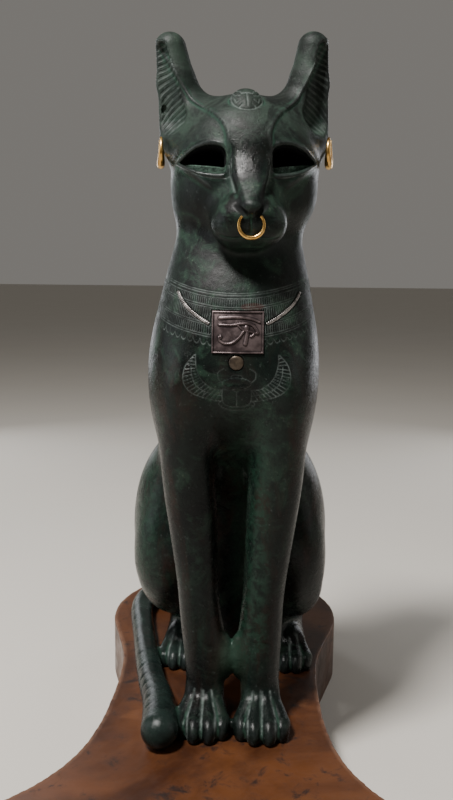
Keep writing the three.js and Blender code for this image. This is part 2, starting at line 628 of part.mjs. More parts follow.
function geometryOf(solid, shift = [0, 0, 0]) {
  const m = solid.getMesh();
  const at = new Float32Array(m.numVert * 3);
  for (let i = 0; i < m.numVert; i += 1) {
    for (let c = 0; c < 3; c += 1) at[i * 3 + c] = m.vertProperties[i * m.numProp + c] + shift[c];
  }
  const g = new THREE.BufferGeometry();
  g.setAttribute('position', new THREE.BufferAttribute(at, 3));
  g.setIndex([...m.triVerts]);
  g.computeVertexNormals();
  return g;
}

// Open ring whose wire swells towards the middle of its run; more is added to its radius, and
// longer runs its ends on. turn points the ring's own right across or along the figure.
function ringMesh(size, centre, turn, more = 0, longer = 0) {
  const points = [], faces = [];
  const from = size.gap - longer, to = 2 * Math.PI - from;
  for (let i = 0; i <= ringSteps; i += 1) {
    const angle = from + (to - from) * i / ringSteps;
    const r = size.thin + (size.thick - size.thin) * Math.sin(Math.PI * i / ringSteps) ** 2 + more;
    for (let j = 0; j < ringSides; j += 1) {
      const a = 2 * Math.PI * j / ringSides;
      const flat = size.middle + r * Math.cos(a);
      const u = Math.sin(angle) * flat, v = Math.cos(angle) * flat, w = r * Math.sin(a);
      points.push(centre[0] + u * Math.cos(turn) - w * Math.sin(turn),
        centre[1] + u * Math.sin(turn) + w * Math.cos(turn), centre[2] + v);
    }
  }
  for (let i = 0; i < ringSteps; i += 1) {
    for (let j = 0; j < ringSides; j += 1) {
      const a = i * ringSides + j, b = i * ringSides + (j + 1) % ringSides;
      faces.push(a, a + ringSides, b, b, a + ringSides, b + ringSides);
    }
  }
  const last = ringSteps * ringSides;
  for (let j = 1; j + 1 < ringSides; j += 1) {
    faces.push(0, j, j + 1, last, last + j + 1, last + j);
  }
  return { points, faces };
}

// Depth of the breast at a place on it, found by walking back from in front
function breastAt(x, z) {
  let y = -20;
  for (let i = 0; i < 60; i += 1) {
    const d = catForm(x, y, z);
    y += 0.9 * d;
    if (Math.abs(d) < 0.01) break;
  }
  return y;
}

// Plate that follows the breast: spot(s, t) gives x and z, proud in front and deep behind the skin
function breastPlate(spot, nu, nv, proud, deep, more = 0) {
  const points = [], faces = [];
  for (const side of [0, 1]) {
    for (let i = 0; i <= nu; i += 1) {
      for (let j = 0; j <= nv; j += 1) {
        const [x, z] = spot(i / nu, j / nv);
        points.push(x, breastAt(x, z) + (side ? deep + more : -proud - more), z);
      }
    }
  }
  const n = (nu + 1) * (nv + 1);
  const at = (i, j, side) => side * n + i * (nv + 1) + j;
  const quad = (a, b, c, d) => faces.push(a, b, c, a, c, d);
  for (let i = 0; i < nu; i += 1) {
    for (let j = 0; j < nv; j += 1) {
      quad(at(i, j, 0), at(i + 1, j, 0), at(i + 1, j + 1, 0), at(i, j + 1, 0));
      quad(at(i, j, 1), at(i, j + 1, 1), at(i + 1, j + 1, 1), at(i + 1, j, 1));
    }
  }
  for (let i = 0; i < nu; i += 1) {
    quad(at(i, 0, 0), at(i, 0, 1), at(i + 1, 0, 1), at(i + 1, 0, 0));
    quad(at(i, nv, 0), at(i + 1, nv, 0), at(i + 1, nv, 1), at(i, nv, 1));
  }
  for (let j = 0; j < nv; j += 1) {
    quad(at(0, j, 0), at(0, j + 1, 0), at(0, j + 1, 1), at(0, j, 1));
    quad(at(nu, j, 0), at(nu, j, 1), at(nu, j + 1, 1), at(nu, j + 1, 0));
  }
  return { points, faces };
}

const plaqueSpot = (grow) => (s, t) => [plaque.x + (s - 0.5) * (plaque.wide + 2 * grow),
  plaque.z + (t - 0.5) * (plaque.high + 2 * grow)];

function cordSpot(side, grow) {
  const line = cordLine.map(([out, up]) => new THREE.Vector3(plaque.wide / 2 + out, plaque.z + up, 0));
  const curve = new THREE.CatmullRomCurve3(line, false, 'catmullrom', 0.5);
  return (s, t) => {
    const run = side < 0 ? s : 1 - s;
    const p = curve.getPoint(run), d = curve.getTangent(run);
    const past = (2 * run - 1) * grow, off = (t - 0.5) * (cord.wide + 2 * grow);
    return [plaque.x + side * (p.x + d.x * past + d.y * off), p.y + d.y * past - d.x * off];
  };
}

// Round inlay: a fan of points across a disc that lies on the breast
function discMesh(grow, proud, deep) {
  const sides = 20, r = disc.r + grow;
  const points = [], faces = [];
  const y = breastAt(discSpot.x, discSpot.z);
  for (const depth of [-proud, deep]) {
    for (let i = 0; i < sides; i += 1) {
      const a = 2 * Math.PI * i / sides;
      points.push(discSpot.x + r * Math.cos(a), y + depth, discSpot.z + r * Math.sin(a));
    }
  }
  for (let i = 0; i < sides; i += 1) {
    const n = (i + 1) % sides;
    faces.push(i, sides + i, n, n, sides + i, sides + n);
    if (i > 0 && i + 1 < sides) faces.push(0, i, i + 1, sides, sides + i + 1, sides + i);
  }
  return { points, faces };
}

// Half widths of the plinth from the front horns back to the round end
const plinthHalf = [
  ...flare.map(([t, w]) => [plinthHorn.y + (plinthWaist.from - plinthHorn.y) * t,
    plinthWaist.half + (plinthHorn.half - plinthWaist.half) * w]),
  ...swell.map(([t, w]) => [plinthWaist.to + (plinthRound.y - plinthWaist.to) * t,
    plinthWaist.half + (plinthRound.r - plinthWaist.half) * w]),
];
const plinthMiddle = (plinthHorn.y - plinthHorn.bow + plinthRound.y + plinthRound.r) / 2;

function plinthOutline() {
  const side = [];
  const curve = new THREE.CatmullRomCurve3(plinthHalf.map(([y, h]) => new THREE.Vector3(h, y, 0)), false,
    'centripetal');
  for (let i = 0; i <= plinthSteps; i += 1) {
    const p = curve.getPoint(i / plinthSteps);
    side.push([p.x, p.y]);
  }
  const arc = 12;
  for (let i = 1; i <= arc; i += 1) {
    const a = Math.PI / 2 * i / arc;
    side.push([plinthRound.r * Math.cos(a), plinthRound.y + plinthRound.r * Math.sin(a)]);
  }
  const outline = side.map((p) => [...p]);
  for (let i = side.length - 2; i >= 0; i -= 1) outline.push([-side[i][0], side[i][1]]);
  // the front edge bows out gently between the two horns
  const steps = 14;
  for (let i = 1; i < steps; i += 1) {
    const t = i / steps;
    outline.push([plinthHorn.half * (2 * t - 1), plinthHorn.y - plinthHorn.bow * Math.sin(Math.PI * t)]);
  }
  return outline;
}

function plinthMesh() {
  const outline = plinthOutline().map(([x, y]) => new THREE.Vector2(x, y));
  const n = outline.length;
  // the eased edge is the outline drawn in by the ease on every side
  const inner = outline.map((p, i) => {
    const a = outline[(i + n - 1) % n], b = outline[(i + 1) % n];
    const tx = b.x - a.x, ty = b.y - a.y, l = Math.hypot(tx, ty);
    return new THREE.Vector2(p.x - ty / l * plinthEase, p.y + tx / l * plinthEase);
  });
  const points = [], faces = [];
  const rim = (list, z) => list.forEach((p) => points.push(p.x, p.y - plinthMiddle, z));
  rim(outline, 0);
  rim(outline, plinthHeight - plinthEase);
  rim(outline.map((p, i) => p.clone().lerp(inner[i], 0.3)), plinthHeight - plinthEase * 0.3);
  rim(inner, plinthHeight);
  for (let l = 0; l < 3; l += 1) {
    for (let i = 0; i < n; i += 1) {
      const a = l * n + i, b = l * n + (i + 1) % n;
      faces.push(a, b, b + n, a, b + n, a + n);
    }
  }
  for (const [a, b, c] of THREE.ShapeUtils.triangulateShape(outline, [])) faces.push(c, b, a);
  for (const face of THREE.ShapeUtils.triangulateShape(inner, [])) faces.push(...face.map((v) => 3 * n + v));
  return { points, faces };
}

// The casting, with beds cut for what is set into it
const weight = (x, y, z) => (z > jaw.z - 33 ? (y < skull.y - 10 ? 9 : 3.5) : 1)
  * (z > 0.2 && z < pawBack.wristZ + 10 ? 3 : 1);
let casting = solidOf(thinOut(skinOf(catForm), castingFacets, weight));
const noseAt = [noseRing.x, noseRing.y, noseRing.z];
const earAt = (side) => [headPose.aside + side * earRing.x, earRing.y, earRing.z];
const earTurn = (side) => Math.PI / 2 - side * earRing.aslant;
const beds = [
  solidOf(ringMesh(noseRing, noseAt, 0, bedEase, 0.12)),
  solidOf(ringMesh(earRing, earAt(-1), earTurn(-1), bedEase, 0.12)),
  solidOf(ringMesh(earRing, earAt(1), earTurn(1), bedEase, 0.12)),
  solidOf(breastPlate(plaqueSpot(seatGap), 8, 6, 4, plaque.deep, seatGap)),
  solidOf(breastPlate(cordSpot(-1, seatGap), 10, 1, 3, cord.deep, seatGap)),
  solidOf(breastPlate(cordSpot(1, seatGap), 10, 1, 3, cord.deep, seatGap)),
  solidOf(discMesh(seatGap, 4, disc.deep + seatGap)),
];
for (const bed of beds) casting = casting.subtract(bed);

const lift = [-plinthAxis, -plinthMiddle, plinthHeight + seatGap];
const bronze = { color: 0x2a352f, roughness: 0.42, metalness: 0.75 };
const gold = { color: 0xc79a4b, roughness: 0.28, metalness: 1 };
const silver = { color: 0x8d8587, roughness: 0.4, metalness: 0.85 };
const copper = { color: 0x5c4a38, roughness: 0.45, metalness: 0.8 };
const plinthFinish = { color: 0x6b3b26, roughness: 0.35, metalness: 0.3 };

const figure = new THREE.Group();
figure.name = 'bastet_cat';
const addPart = (name, solid, shift, finish) => {
  const mesh = new THREE.Mesh(geometryOf(solid, shift), new THREE.MeshStandardMaterial(finish));
  mesh.name = name;
  figure.add(mesh);
};

addPart('cat_body', casting, lift, bronze);
addPart('nose_ring', solidOf(ringMesh(noseRing, noseAt, 0)), lift, gold);
addPart('earring_left', solidOf(ringMesh(earRing, earAt(-1), earTurn(-1))), lift, gold);
addPart('earring_right', solidOf(ringMesh(earRing, earAt(1), earTurn(1))), lift, gold);
const plaqueSolid = solidOf(breastPlate(plaqueSpot(0), 8, 6, plaque.proud, plaque.deep));
addPart('breast_plaque', plaqueSolid, lift, silver);
for (const [name, side] of [['cord_left', -1], ['cord_right', 1]]) {
  addPart(name, solidOf(breastPlate(cordSpot(side, 0), 10, 1, cord.proud, cord.deep)), lift, silver);
}
addPart('sun_disc', solidOf(discMesh(0, disc.proud, disc.deep)), lift, copper);
addPart('plinth', solidOf(plinthMesh()), [0, 0, 0], plinthFinish);

export default figure;
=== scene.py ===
import json
import math

import bmesh
import bpy
import numpy as np
from mathutils import Matrix, Vector

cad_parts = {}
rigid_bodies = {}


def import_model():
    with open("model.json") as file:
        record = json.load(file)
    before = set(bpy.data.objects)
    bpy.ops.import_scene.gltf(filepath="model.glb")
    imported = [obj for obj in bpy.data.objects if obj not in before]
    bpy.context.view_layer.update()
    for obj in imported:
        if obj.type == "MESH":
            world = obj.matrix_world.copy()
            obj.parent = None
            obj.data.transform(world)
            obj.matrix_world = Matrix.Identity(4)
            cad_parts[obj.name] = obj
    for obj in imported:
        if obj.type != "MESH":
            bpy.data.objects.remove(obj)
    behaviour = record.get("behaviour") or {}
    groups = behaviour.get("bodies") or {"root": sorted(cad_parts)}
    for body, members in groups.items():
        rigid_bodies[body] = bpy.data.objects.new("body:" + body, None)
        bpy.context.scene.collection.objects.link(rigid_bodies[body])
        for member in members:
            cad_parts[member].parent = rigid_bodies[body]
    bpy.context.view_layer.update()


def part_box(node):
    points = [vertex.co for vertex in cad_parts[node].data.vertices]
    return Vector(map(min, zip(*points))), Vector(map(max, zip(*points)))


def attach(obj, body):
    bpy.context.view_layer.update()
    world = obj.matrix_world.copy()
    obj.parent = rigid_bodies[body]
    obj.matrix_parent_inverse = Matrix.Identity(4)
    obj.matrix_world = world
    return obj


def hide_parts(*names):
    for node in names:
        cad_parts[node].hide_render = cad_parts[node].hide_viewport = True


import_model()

# Sizes are millimetres in the cat's own frame, with its paws on z 0, looking along -Y. seat is its place
# on the plinth.
mm = 0.001
seat = np.array([11.9, -95.5, 45.3])


def toPart(points):
    return (np.asarray(points, float) + seat) * mm


# Shaping: the same forms as the solid's, on arrays of places. Each says how far a place is outside its skin.

def clamp(v, lo=0.0, hi=1.0):
    return np.clip(v, lo, hi)


def ramp(a, b, v):
    t = clamp((v - a) / (b - a))
    return t * t * (3 - 2 * t)


def blend(a, b, k):
    h = clamp(0.5 + 0.5 * (b - a) / k)
    return b + (a - b) * h - k * h * (1 - h)


def carve(a, b, k):
    return -blend(-a, b, k)


def meet(a, b, k):
    return -blend(-a, -b, k)


def bell(v, w):
    return np.exp(-(v / w) ** 2)


def rowValue(rows, t):
    # smooth value between rows spaced evenly in height
    values = np.asarray(rows, float)
    last = len(values) - 1
    i = np.clip(np.floor(t).astype(int), 0, last - 1)
    f = clamp(t - i)
    g = 1 - f
    near = [values[np.clip(i + j, 0, last)] for j in (-1, 0, 1, 2)]
    return (g ** 3 * near[0] + (3 * f ** 3 - 6 * f ** 2 + 4) * near[1]
            + (-3 * f ** 3 + 3 * f ** 2 + 3 * f + 1) * near[2] + f ** 3 * near[3]) / 6


def oval(u, v, a, b):
    k0 = np.sqrt((u / a) ** 2 + (v / b) ** 2) + 1e-6
    k1 = np.sqrt((u / (a * a)) ** 2 + (v / (b * b)) ** 2) + 1e-9
    return k0 * (k0 - 1) / k1


def egg(x, y, z, at, radii, tilt=0.0):
    x, y, z = x - at[0], y - at[1], z - at[2]
    if tilt:
        c, s = math.cos(tilt), math.sin(tilt)
        y, z = c * y + s * z, -s * y + c * z
    a, b, c = radii
    k0 = np.sqrt((x / a) ** 2 + (y / b) ** 2 + (z / c) ** 2) + 1e-6
    k1 = np.sqrt((x / a ** 2) ** 2 + (y / b ** 2) ** 2 + (z / c ** 2) ** 2) + 1e-9
    return k0 * (k0 - 1) / k1


def bar(x, y, z, start, end, r0, r1):
    dx, dy, dz = (end[i] - start[i] for i in range(3))
    x, y, z = x - start[0], y - start[1], z - start[2]
    t = clamp((x * dx + y * dy + z * dz) / (dx * dx + dy * dy + dz * dz))
    return np.sqrt((x - t * dx) ** 2 + (y - t * dy) ** 2 + (z - t * dz) ** 2) - (r0 + (r1 - r0) * t)


def changed(base, mask, change):
    # works out change only at the places in mask
    result = base.copy()
    if mask.any():
        result[mask] = change(mask)
    return result


def curveThrough(points, steps):
    # Catmull-Rom curve through the points, evenly counted between them
    p = np.asarray(points, float)
    last = len(p) - 1
    t = np.linspace(0, last, steps + 1)
    i = np.clip(t.astype(int), 0, last - 1)
    f = (t - i)[:, None]
    a, b, c, d = (p[np.clip(i + j, 0, last)] for j in (-1, 0, 1, 2))
    return 0.5 * (2 * b + (c - a) * f + (2 * a - 5 * b + 4 * c - d) * f ** 2
                  + (3 * b - a - 3 * c + d) * f ** 3)


def strokeDistance(u, v, line):
    # distance in a plane to a row of short straight pieces, and how far along it the nearest lies
    best = np.full(u.shape, 1e9)
    along = np.zeros(u.shape)
    count = len(line) - 1
    for i in range(count):
        (au, av), (bu, bv) = line[i], line[i + 1]
        du, dv = bu - au, bv - av
        t = clamp(((u - au) * du + (v - av) * dv) / (du * du + dv * dv + 1e-12))
        far = np.hypot(u - au - t * du, v - av - t * dv)
        closer = far < best
        best = np.where(closer, far, best)
        along = np.where(closer, (i + t) / count, along)
    return best, along


# Rows stand a step of height apart. An egg is its middle, half sizes and tilt, and a bar its two ends and
# their radii.
body = {
    "rowStep": 30,
    "chest": [98, 88, 82, 79, 70, 52, 26, 12, 10.5, 18, 35, 46],
    "spine": [226, 223, 216, 205, 190, 175, 160, 145, 128, 112, 98, 92],
    "width": [40, 42, 44, 46, 47, 48, 49, 50, 49.5, 45.5, 37, 34],
    "narrowing": 0.16,      # slimmer over the spine
    "top": 326,
    "lean": 0.052,          # for each millimetre back
    "legStep": 12.5,
    "legAside": [17, 17, 17.2, 17, 17.2, 18.6, 19.8, 20.8, 21.9, 23, 24, 25.2, 26.3, 27, 27.5, 28, 28, 28,
                 28],
    "legAcross": [12, 11.8, 12, 13, 13.8, 13.4, 12.8, 13, 13.6, 14.4, 15.3, 16, 16.6, 17.1, 17.5, 18, 18, 17,
                  15],
    "legBack": [32, 33, 34.5, 36.5, 37.5, 37.8, 38, 38.1, 38.3, 38.6, 39, 39.4, 40, 41, 42.2, 43.8, 45.8, 48,
                50],
    "legAlong": [11, 11.2, 11.6, 12.4, 12.5, 12.6, 12.8, 13.1, 13.6, 14.2, 15, 16.2, 17.8, 20, 23.2, 27, 31,
                 35, 38],
    "legTop": 232,
    "shoulder": ((27, 60, 214), (22, 38, 44), -0.25),
    "wristPad": ((4.2, 34, 41), (5.6, 6.5, 15)),
    "thigh": ((42, 128, 98), (27.5, 50, 62), 0.22),
    "knee": ((43, 98, 78), (22, 22, 38), 0.25),
    "shin": ((43, 112, 60), (40, 170, 20), 20, 14),
    "foot": ((38, 188, 12), (39, 118, 12), 13, 12.5),
}
paws = {
    # how far aside, y at the tips of the toes, size
    "front": (18.2, 0, 1),
    "hind": (39.5, 91, 0.92),
    # each toe: how far across, how far behind the tips, radius
    "toes": ((-12.3, 13.5, 5.4), (-4.6, 8.5, 6), (4.6, 8.5, 6), (12.3, 13.5, 5.4)),
    "between": (-8.45, 0, 8.45),
}
tail = {
    "path": [[0, 206, 24], [-20, 226, 15], [-48, 229, 10.5], [-70, 213, 9], [-79, 184, 8.2], [-70, 130, 7.6],
             [-56.4, 66, 8.4], [-46.8, 31, 10], [-42.4, -1.5, 10.8]],
    "radii": [12.5, 11.5, 10.2, 9.4, 8.8, 8.2, 8.9, 10.3, 11.2],
    "steps": 40,
    "top": 52,
}
tailLine = curveThrough(tail["path"], tail["steps"])
tailRadius = np.interp(np.linspace(0, 8, tail["steps"] + 1), range(9), tail["radii"])


def trunkForm(x, y, z):
    t = z / body["rowStep"]
    front, back = rowValue(body["chest"], t), rowValue(body["spine"], t)
    v, b = y - (front + back) / 2, (back - front) / 2
    a = rowValue(body["width"], t) * (1 - body["narrowing"] * clamp(v / b, -1.3, 1.3))
    return np.maximum(oval(x, v, a, b), z - body["top"])


def frontLegForm(x, y, z):
    t = z / body["legStep"]
    d = oval(x - rowValue(body["legAside"], t), y - rowValue(body["legBack"], t),
             rowValue(body["legAcross"], t), rowValue(body["legAlong"], t))
    return meet(d, z - body["legTop"], 24)


def pawForm(x, y, z, aside, tips, s):
    # four toes in ridges that run up to the wrist
    d = egg(x, y, z, (aside, tips + 24 * s, 3), (15.2 * s, 20 * s, 15 * s))
    for off, back, r in paws["toes"]:
        tx, ty = aside + off * s, tips + back * s
        wrist = (aside + off * 0.4 * s, tips + 32 * s, 20.5 * s)
        ridge = bar(x, y, z, (tx, ty, 8.2 * s), wrist, r * s, 4.4 * s)
        tip = egg(x, y, z, (tx, ty - s, 5 * s), (5 * s, 8.4 * s, 8 * s))
        d = blend(d, blend(ridge, tip, 1.5), 1.3)
    return d


def tailForm(x, y, z):
    near = np.full(x.shape, 60.0)
    for i in range(tail["steps"]):
        ends = tailLine[i], tailLine[i + 1], tailRadius[i], tailRadius[i + 1]
        near = np.minimum(near, bar(x, y, z, *ends))
    return near


head = {
    "skull": ((0, 60, 345), (45, 42, 38)),
    "jaw": ((0, 56, 323), (42.5, 33, 26)),
    "muzzle": ((0, 48, 328), (0, 22, 312), 27, 15),
    "lipPad": ((6.2, 19.4, 305.5), (14, 12.2, 11.6)),
    "noseTip": ((0, 6, 314.4), (5.2, 5.2, 4.6)),
    "nostril": ((3.6, 3.4, 311), (8.6, 5.6, 315.4), 1.1, 0.8),
    "boss": ((0, 33.4, 374.4), (9.6, 5.2, 10.6), -0.72),
}
nose = {"y": 2, "z": 315, "angle": 0.435, "long": 62, "back": 50}
# half the width between the brow lines, from the nose up to where they turn out to the ears
brow = {"z": 352.7, "half": 12.2, "curve": 0.03, "nose": 5.8, "gain": 6.4, "farZ": 377.5, "farHalf": 30.7,
        "farSlope": 0.55, "raised": 1.1, "line": 0.7}
eye = {"inner": 13, "wide": 26, "low": 334, "peak": 9, "rise": 15.8, "fall": 8, "drop": 2.6, "corner": 7.8,
       "lid": 0.8, "shelf": 3.6, "hollow": 337.5, "back": 47}
cheek = {"from": (39.5, 341), "to": (17, 324), "high": 2.1}
lips = {"z": 299.6, "half": 20, "deep": 0.4}
ear = {
    "lower": ((31.8, 66, 362), (39.8, 63.2, 391), 20.2, 11.6),
    "upper": ((39.8, 63.2, 391), (42.4, 62, 410.6), 11.6, 9),
}


def hollowEnd(at, r, out, up):
    # the ear's hollow follows its front and outer side, placed by shares of its radius
    return at[0] + 0.66 * out * r, at[1] - 0.75 * out * r, at[2] + up * r


ear["hollow"] = (hollowEnd(ear["lower"][0], ear["lower"][2], 1.1, 0.46),
                 hollowEnd(ear["upper"][1], ear["upper"][3], 0.98, -0.23),
                 ear["lower"][2] * 0.6, ear["upper"][3] * 0.6)


def headAside(x, y, z):
    # the head sits aside and looks a little to the cat's left
    return x - 2.6 + 0.035 * clamp(z - 340, 0, 80) - 0.095 * clamp(58 - y, 0, 70)


def eyeOutline(ax, z):
    u, v, near = ax - eye["inner"], z - eye["low"], eye["peak"]
    top = eye["rise"] - np.where(u > near, eye["fall"] * ((u - near) / (eye["wide"] - near)) ** 2,
                                 eye["drop"] * ((near - u) / near) ** 2)
    low = eye["corner"] * np.sign(u) * (np.abs(u) / eye["wide"]) ** 2.4
    return meet(meet((v - top) * 0.9, (low - v) * 0.93, 1.2), -u, 3)


def browLine(z):
    low = brow["nose"] + brow["gain"] * ramp(312, 337, z)
    high = brow["half"] + brow["curve"] * (z - brow["z"]) ** 2
    far = brow["farHalf"] + brow["farSlope"] * (z - brow["farZ"])
    return np.where(z > brow["z"], blend(high, far, 4), low)


def faceSkin(x, z):
    (_, y0, z0), (a, b, c) = head["skull"]
    return y0 - b * np.sqrt(clamp(1 - (x / a) ** 2 - ((z - z0) / c) ** 2, 0.02, 1))


def noseForm(x, y, z):
    # a flat topped ridge
    c, s = math.cos(nose["angle"]), math.sin(nose["angle"])
    up = (z - nose["z"]) * c + (y - nose["y"]) * s
    out = (z - nose["z"]) * s - (y - nose["y"]) * c
    d = meet(meet(np.abs(x) - browLine(z) + 1.2, out + 0.014 * x * x, 4.5), -up - 1, 4)
    return meet(meet(d, up - nose["long"], 8), y - nose["back"], 4)


def cheekAndEye(d, x, y, z):
    # ridge of the cheek and the lid, then a shallow shelf below and the empty socket above
    ax = np.abs(x)
    face = ramp(50, 42, y)
    (ux, uz), (vx, vz) = cheek["from"], cheek["to"]
    run = math.hypot(vx - ux, vz - uz)
    tx, tz = (vx - ux) / run, (vz - uz) / run
    along, across = (ax - ux) * tx + (z - uz) * tz, (ax - ux) * tz - (z - uz) * tx
    fade = ramp(-1, 8, along) * ramp(run + 1, run - 12, along)
    slope = np.where(across > 0, np.exp(-np.maximum(across, 0) / 5), bell(across, 2))
    d = d - cheek["high"] * slope * fade * face
    e = eyeOutline(ax, z)
    d = d - eye["lid"] * bell(e - 1.5, 1.4) * face * ramp(12.5, 17, ax)
    shelf = meet(e, y - faceSkin(x, z) - eye["shelf"], 0.8)
    above = eye["hollow"] + 0.15 * (ax - eye["inner"]) - z
    hollow = meet(meet(e + 0.6, above, 1), y - eye["back"], 2)
    return np.where(face > 0, carve(carve(d, shelf, 0.9), hollow, 0.9), d)


def mouth(d, x, y, z):
    # crease beside the muzzle, then the line of the lips
    ax = np.abs(x)
    q = np.hypot((ax - 6.2) / 15.6, (z - 306) / 12.6)
    d = d + 0.2 * bell(q - 1.14, 0.14) * ramp(36, 26, y) * ramp(4, 9, ax) * ramp(294, 299, z)
    t = clamp(ax / lips["half"])
    lip = z - (lips["z"] - 2.2 * np.sin(t * math.pi) + 1.4 * t * t)
    d = d + lips["deep"] * bell(lip, 0.8) * ramp(32, 26, y) * ramp(19, 15, ax)
    return d + lips["deep"] * bell(x, 0.8) * ramp(299, 301, z) * ramp(312, 309, z) * ramp(20, 14, y)


def headForm(wx, y, z):
    x = headAside(wx, y, z)
    ax = np.abs(x)
    d = blend(egg(x, y, z, *head["skull"]), egg(x, y, z, *head["jaw"]), 10)
    d = blend(d, bar(x, y, z, *head["muzzle"]), 8)
    d = blend(d, egg(ax, y, z, *head["lipPad"]), 14)
    d = blend(d, noseForm(x, y, z), 3.4)
    d = blend(d, egg(x, y, z, *head["noseTip"]), 2.2)
    d = carve(d, bar(ax, y, z, *head["nostril"]), 1.4)
    # a wide fillet inside the ear, towards the crown, and a narrow one outside
    ears = blend(bar(ax, y, z, *ear["lower"]), bar(ax, y, z, *ear["upper"]), 3)
    d = blend(d, ears, 7 + 6 * ramp(38, 28, ax))
    d = carve(d, bar(ax, y, z, *ear["hollow"]), 2.6)
    # raised forehead between the brow lines
    edge = browLine(z) - ax
    raised = brow["raised"] * ramp(-1, 1.4, edge) + brow["line"] * bell(edge - 0.3, 1.3)
    d = d - raised * ramp(70, 52, y) * ramp(340, 360, z)
    d = mouth(cheekAndEye(d, x, y, z), x, y, z)
    return blend(d, egg(x, y, z, *head["boss"]), 1)


def leanAt(y, z):
    return -body["lean"] * y * (0.15 + 0.85 * ramp(15, 80, z)) * ramp(330, 200, z)


def catForm(p):
    wx, y, z = p
    x = wx - leanAt(y, z)
    ax = np.abs(x)

    def added(d, mask, form, places, sizes, k):
        # form with these sizes, worked out and blended on only at the places in mask
        return changed(d, mask, lambda m: blend(d[m], form(*(q[m] for q in places), *sizes), k))

    d = trunkForm(x, y, z)
    d = blend(d, egg(ax, y, z, *body["shoulder"]), 16)
    d = blend(d, frontLegForm(ax, y, z), 10)
    mirrored, straight = (ax, y, z), (wx, y, z)
    d = added(d, z < 74, egg, mirrored, body["wristPad"], 3)
    d = added(d, z < 48, pawForm, mirrored, paws["front"], 5)
    d = blend(d, egg(ax, y, z, *body["thigh"]), 16)
    d = blend(d, egg(ax, y, z, *body["knee"]), 12)
    d = blend(d, bar(ax, y, z, *body["shin"]), 8)
    d = blend(d, bar(ax, y, z, *body["foot"]), 6)
    d = added(d, z < 48, pawForm, mirrored, paws["hind"], 3)
    d = added(d, z > 260, headForm, straight, (), 12)
    d = added(d, z < tail["top"], tailForm, straight, (), 3)
    return np.maximum(d, -z)


def slopeOf(p, h=0.25):
    # value, slope and roundness of the form at each place
    value = catForm(p)
    slope, total = [], -6 * value
    for axis in range(3):
        ahead, behind = p.copy(), p.copy()
        ahead[axis] += h
        behind[axis] -= h
        a, b = catForm(ahead), catForm(behind)
        slope.append((a - b) / (2 * h))
        total = total + a + b
    return value, np.array(slope), total / (h * h)


# What is chased into the skin. Places are across and up, and one side stands for both.

plaque = {"x": 0.9, "z": 245.8, "wide": 29.6, "high": 23.8, "proud": 1.1, "deep": 1.3, "columns": 150}
# the disc's turned profile is radius and depth, from its crown to its back
disc = {"x": 0.3, "z": 228.6, "r": 4.4, "sides": 56,
        "profile": [(0, -0.7), (1.1, -0.68), (2.1, -0.62), (2.9, -0.5), (3.5, -0.34), (3.9, -0.12),
                    (4.15, 0.12), (4.3, 0.4), (4.4, 0.8), (4.4, 1.2)]}
cord = {"path": [(35.6, 268), (32.7, 262.7), (28.2, 258), (22.6, 253.9), (17, 250.6)], "steps": 23,
        "beads": 26, "long": 1.5, "wide": 2.3, "high": 0.8, "slant": 0.6}
beds = {"plaque": 1.6, "disc": 1.4, "cord": 0.9, "wall": (0.35, -0.1)}
collar = {
    "lines": [267.4, 266.4, 264.8, 260.8, 259.7, 252.0, 250.9, 246.0, 244.8],
    "ticks": [(264.5, 261.1), (259.4, 252.3), (250.6, 246.3)],
    "leaves": (244.2, 240.2),
    "count": 260,           # ticks all round
    "wide": 0.25,
    "deep": 0.2,
}
# the scarab on the breast, one half, about its own middle
scarab = {
    "middle": 0.6,
    "wingInner": [(8, 212.6), (13.9, 213.4), (19.3, 217.4), (22, 221.8), (23.5, 227.2), (23.7, 232.9)],
    "wingOuter": [(9.6, 206), (15, 206.8), (21, 208.6), (26.5, 211.5), (30.1, 216), (30.8, 221.5),
                  (28.8, 227.8), (24.4, 232.8)],
    "wingMiddle": [(8.4, 209.2), (17, 211), (23, 215), (25.6, 220.6), (26.2, 226)],
    "wingCase": [(8.3, 213.1), (8.4, 207.4), (7.2, 204.4), (4, 203), (0, 202.7)],
    "seam": [(0, 211.6), (0, 203)],
    "notch": [(0, 211.4), (2.4, 212.9), (8.3, 213.1)],
    "frontLeg": [(8.6, 217.3), (10.6, 219.5), (10.6, 223), (7.4, 225.2)],
    "hindLeg": [(8.4, 206.4), (10.4, 204.6), (8.6, 202.4), (4.6, 200.9), (0, 200.5)],
    "head": [(0, 221.6), (2.6, 221.2), (3.4, 219.6)],
    "shoulders": (8.3, 3.3, 216.6),
    "feathers": 17,
    "wide": 0.24,
    "deep": 0.2,
}
# the small scarab on the forehead in its rim, about the boss's middle, drawn a little flat
boss = {
    "rim": (8.9, 7.0),
    "squeeze": 0.72,
    "strokes": [[(0, 1), (0, -5)], [(0, 1.6), (3.3, 1.2)], [(3.4, 2.4), (5.6, 4.2), (5.2, 5.8)],
                [(3.9, 0), (6.4, 0.8), (7.2, 2.2)], [(3.6, -2.2), (6.2, -3), (6.8, -1.4)],
                [(2.6, -4.2), (4.6, -5.4)], [(7.6, 0), (8.4, -0.2)]],
}
marks = {
    "tear": [(11.8, 338), (11.2, 333), (9.6, 327), (8.6, 323)],
    "whiskers": [[(11, z), (15, z + 0.6), (19, z + 1.8)] for z in (304, 308)],
    "earHole": (-46.3, 61.1, 376),
    "ribs": 3.2,            # from one rib of the ear to the next
    "tailBeat": 0.64,       # notches for each short bar of the tail
    "tailTip": 38.4,
}


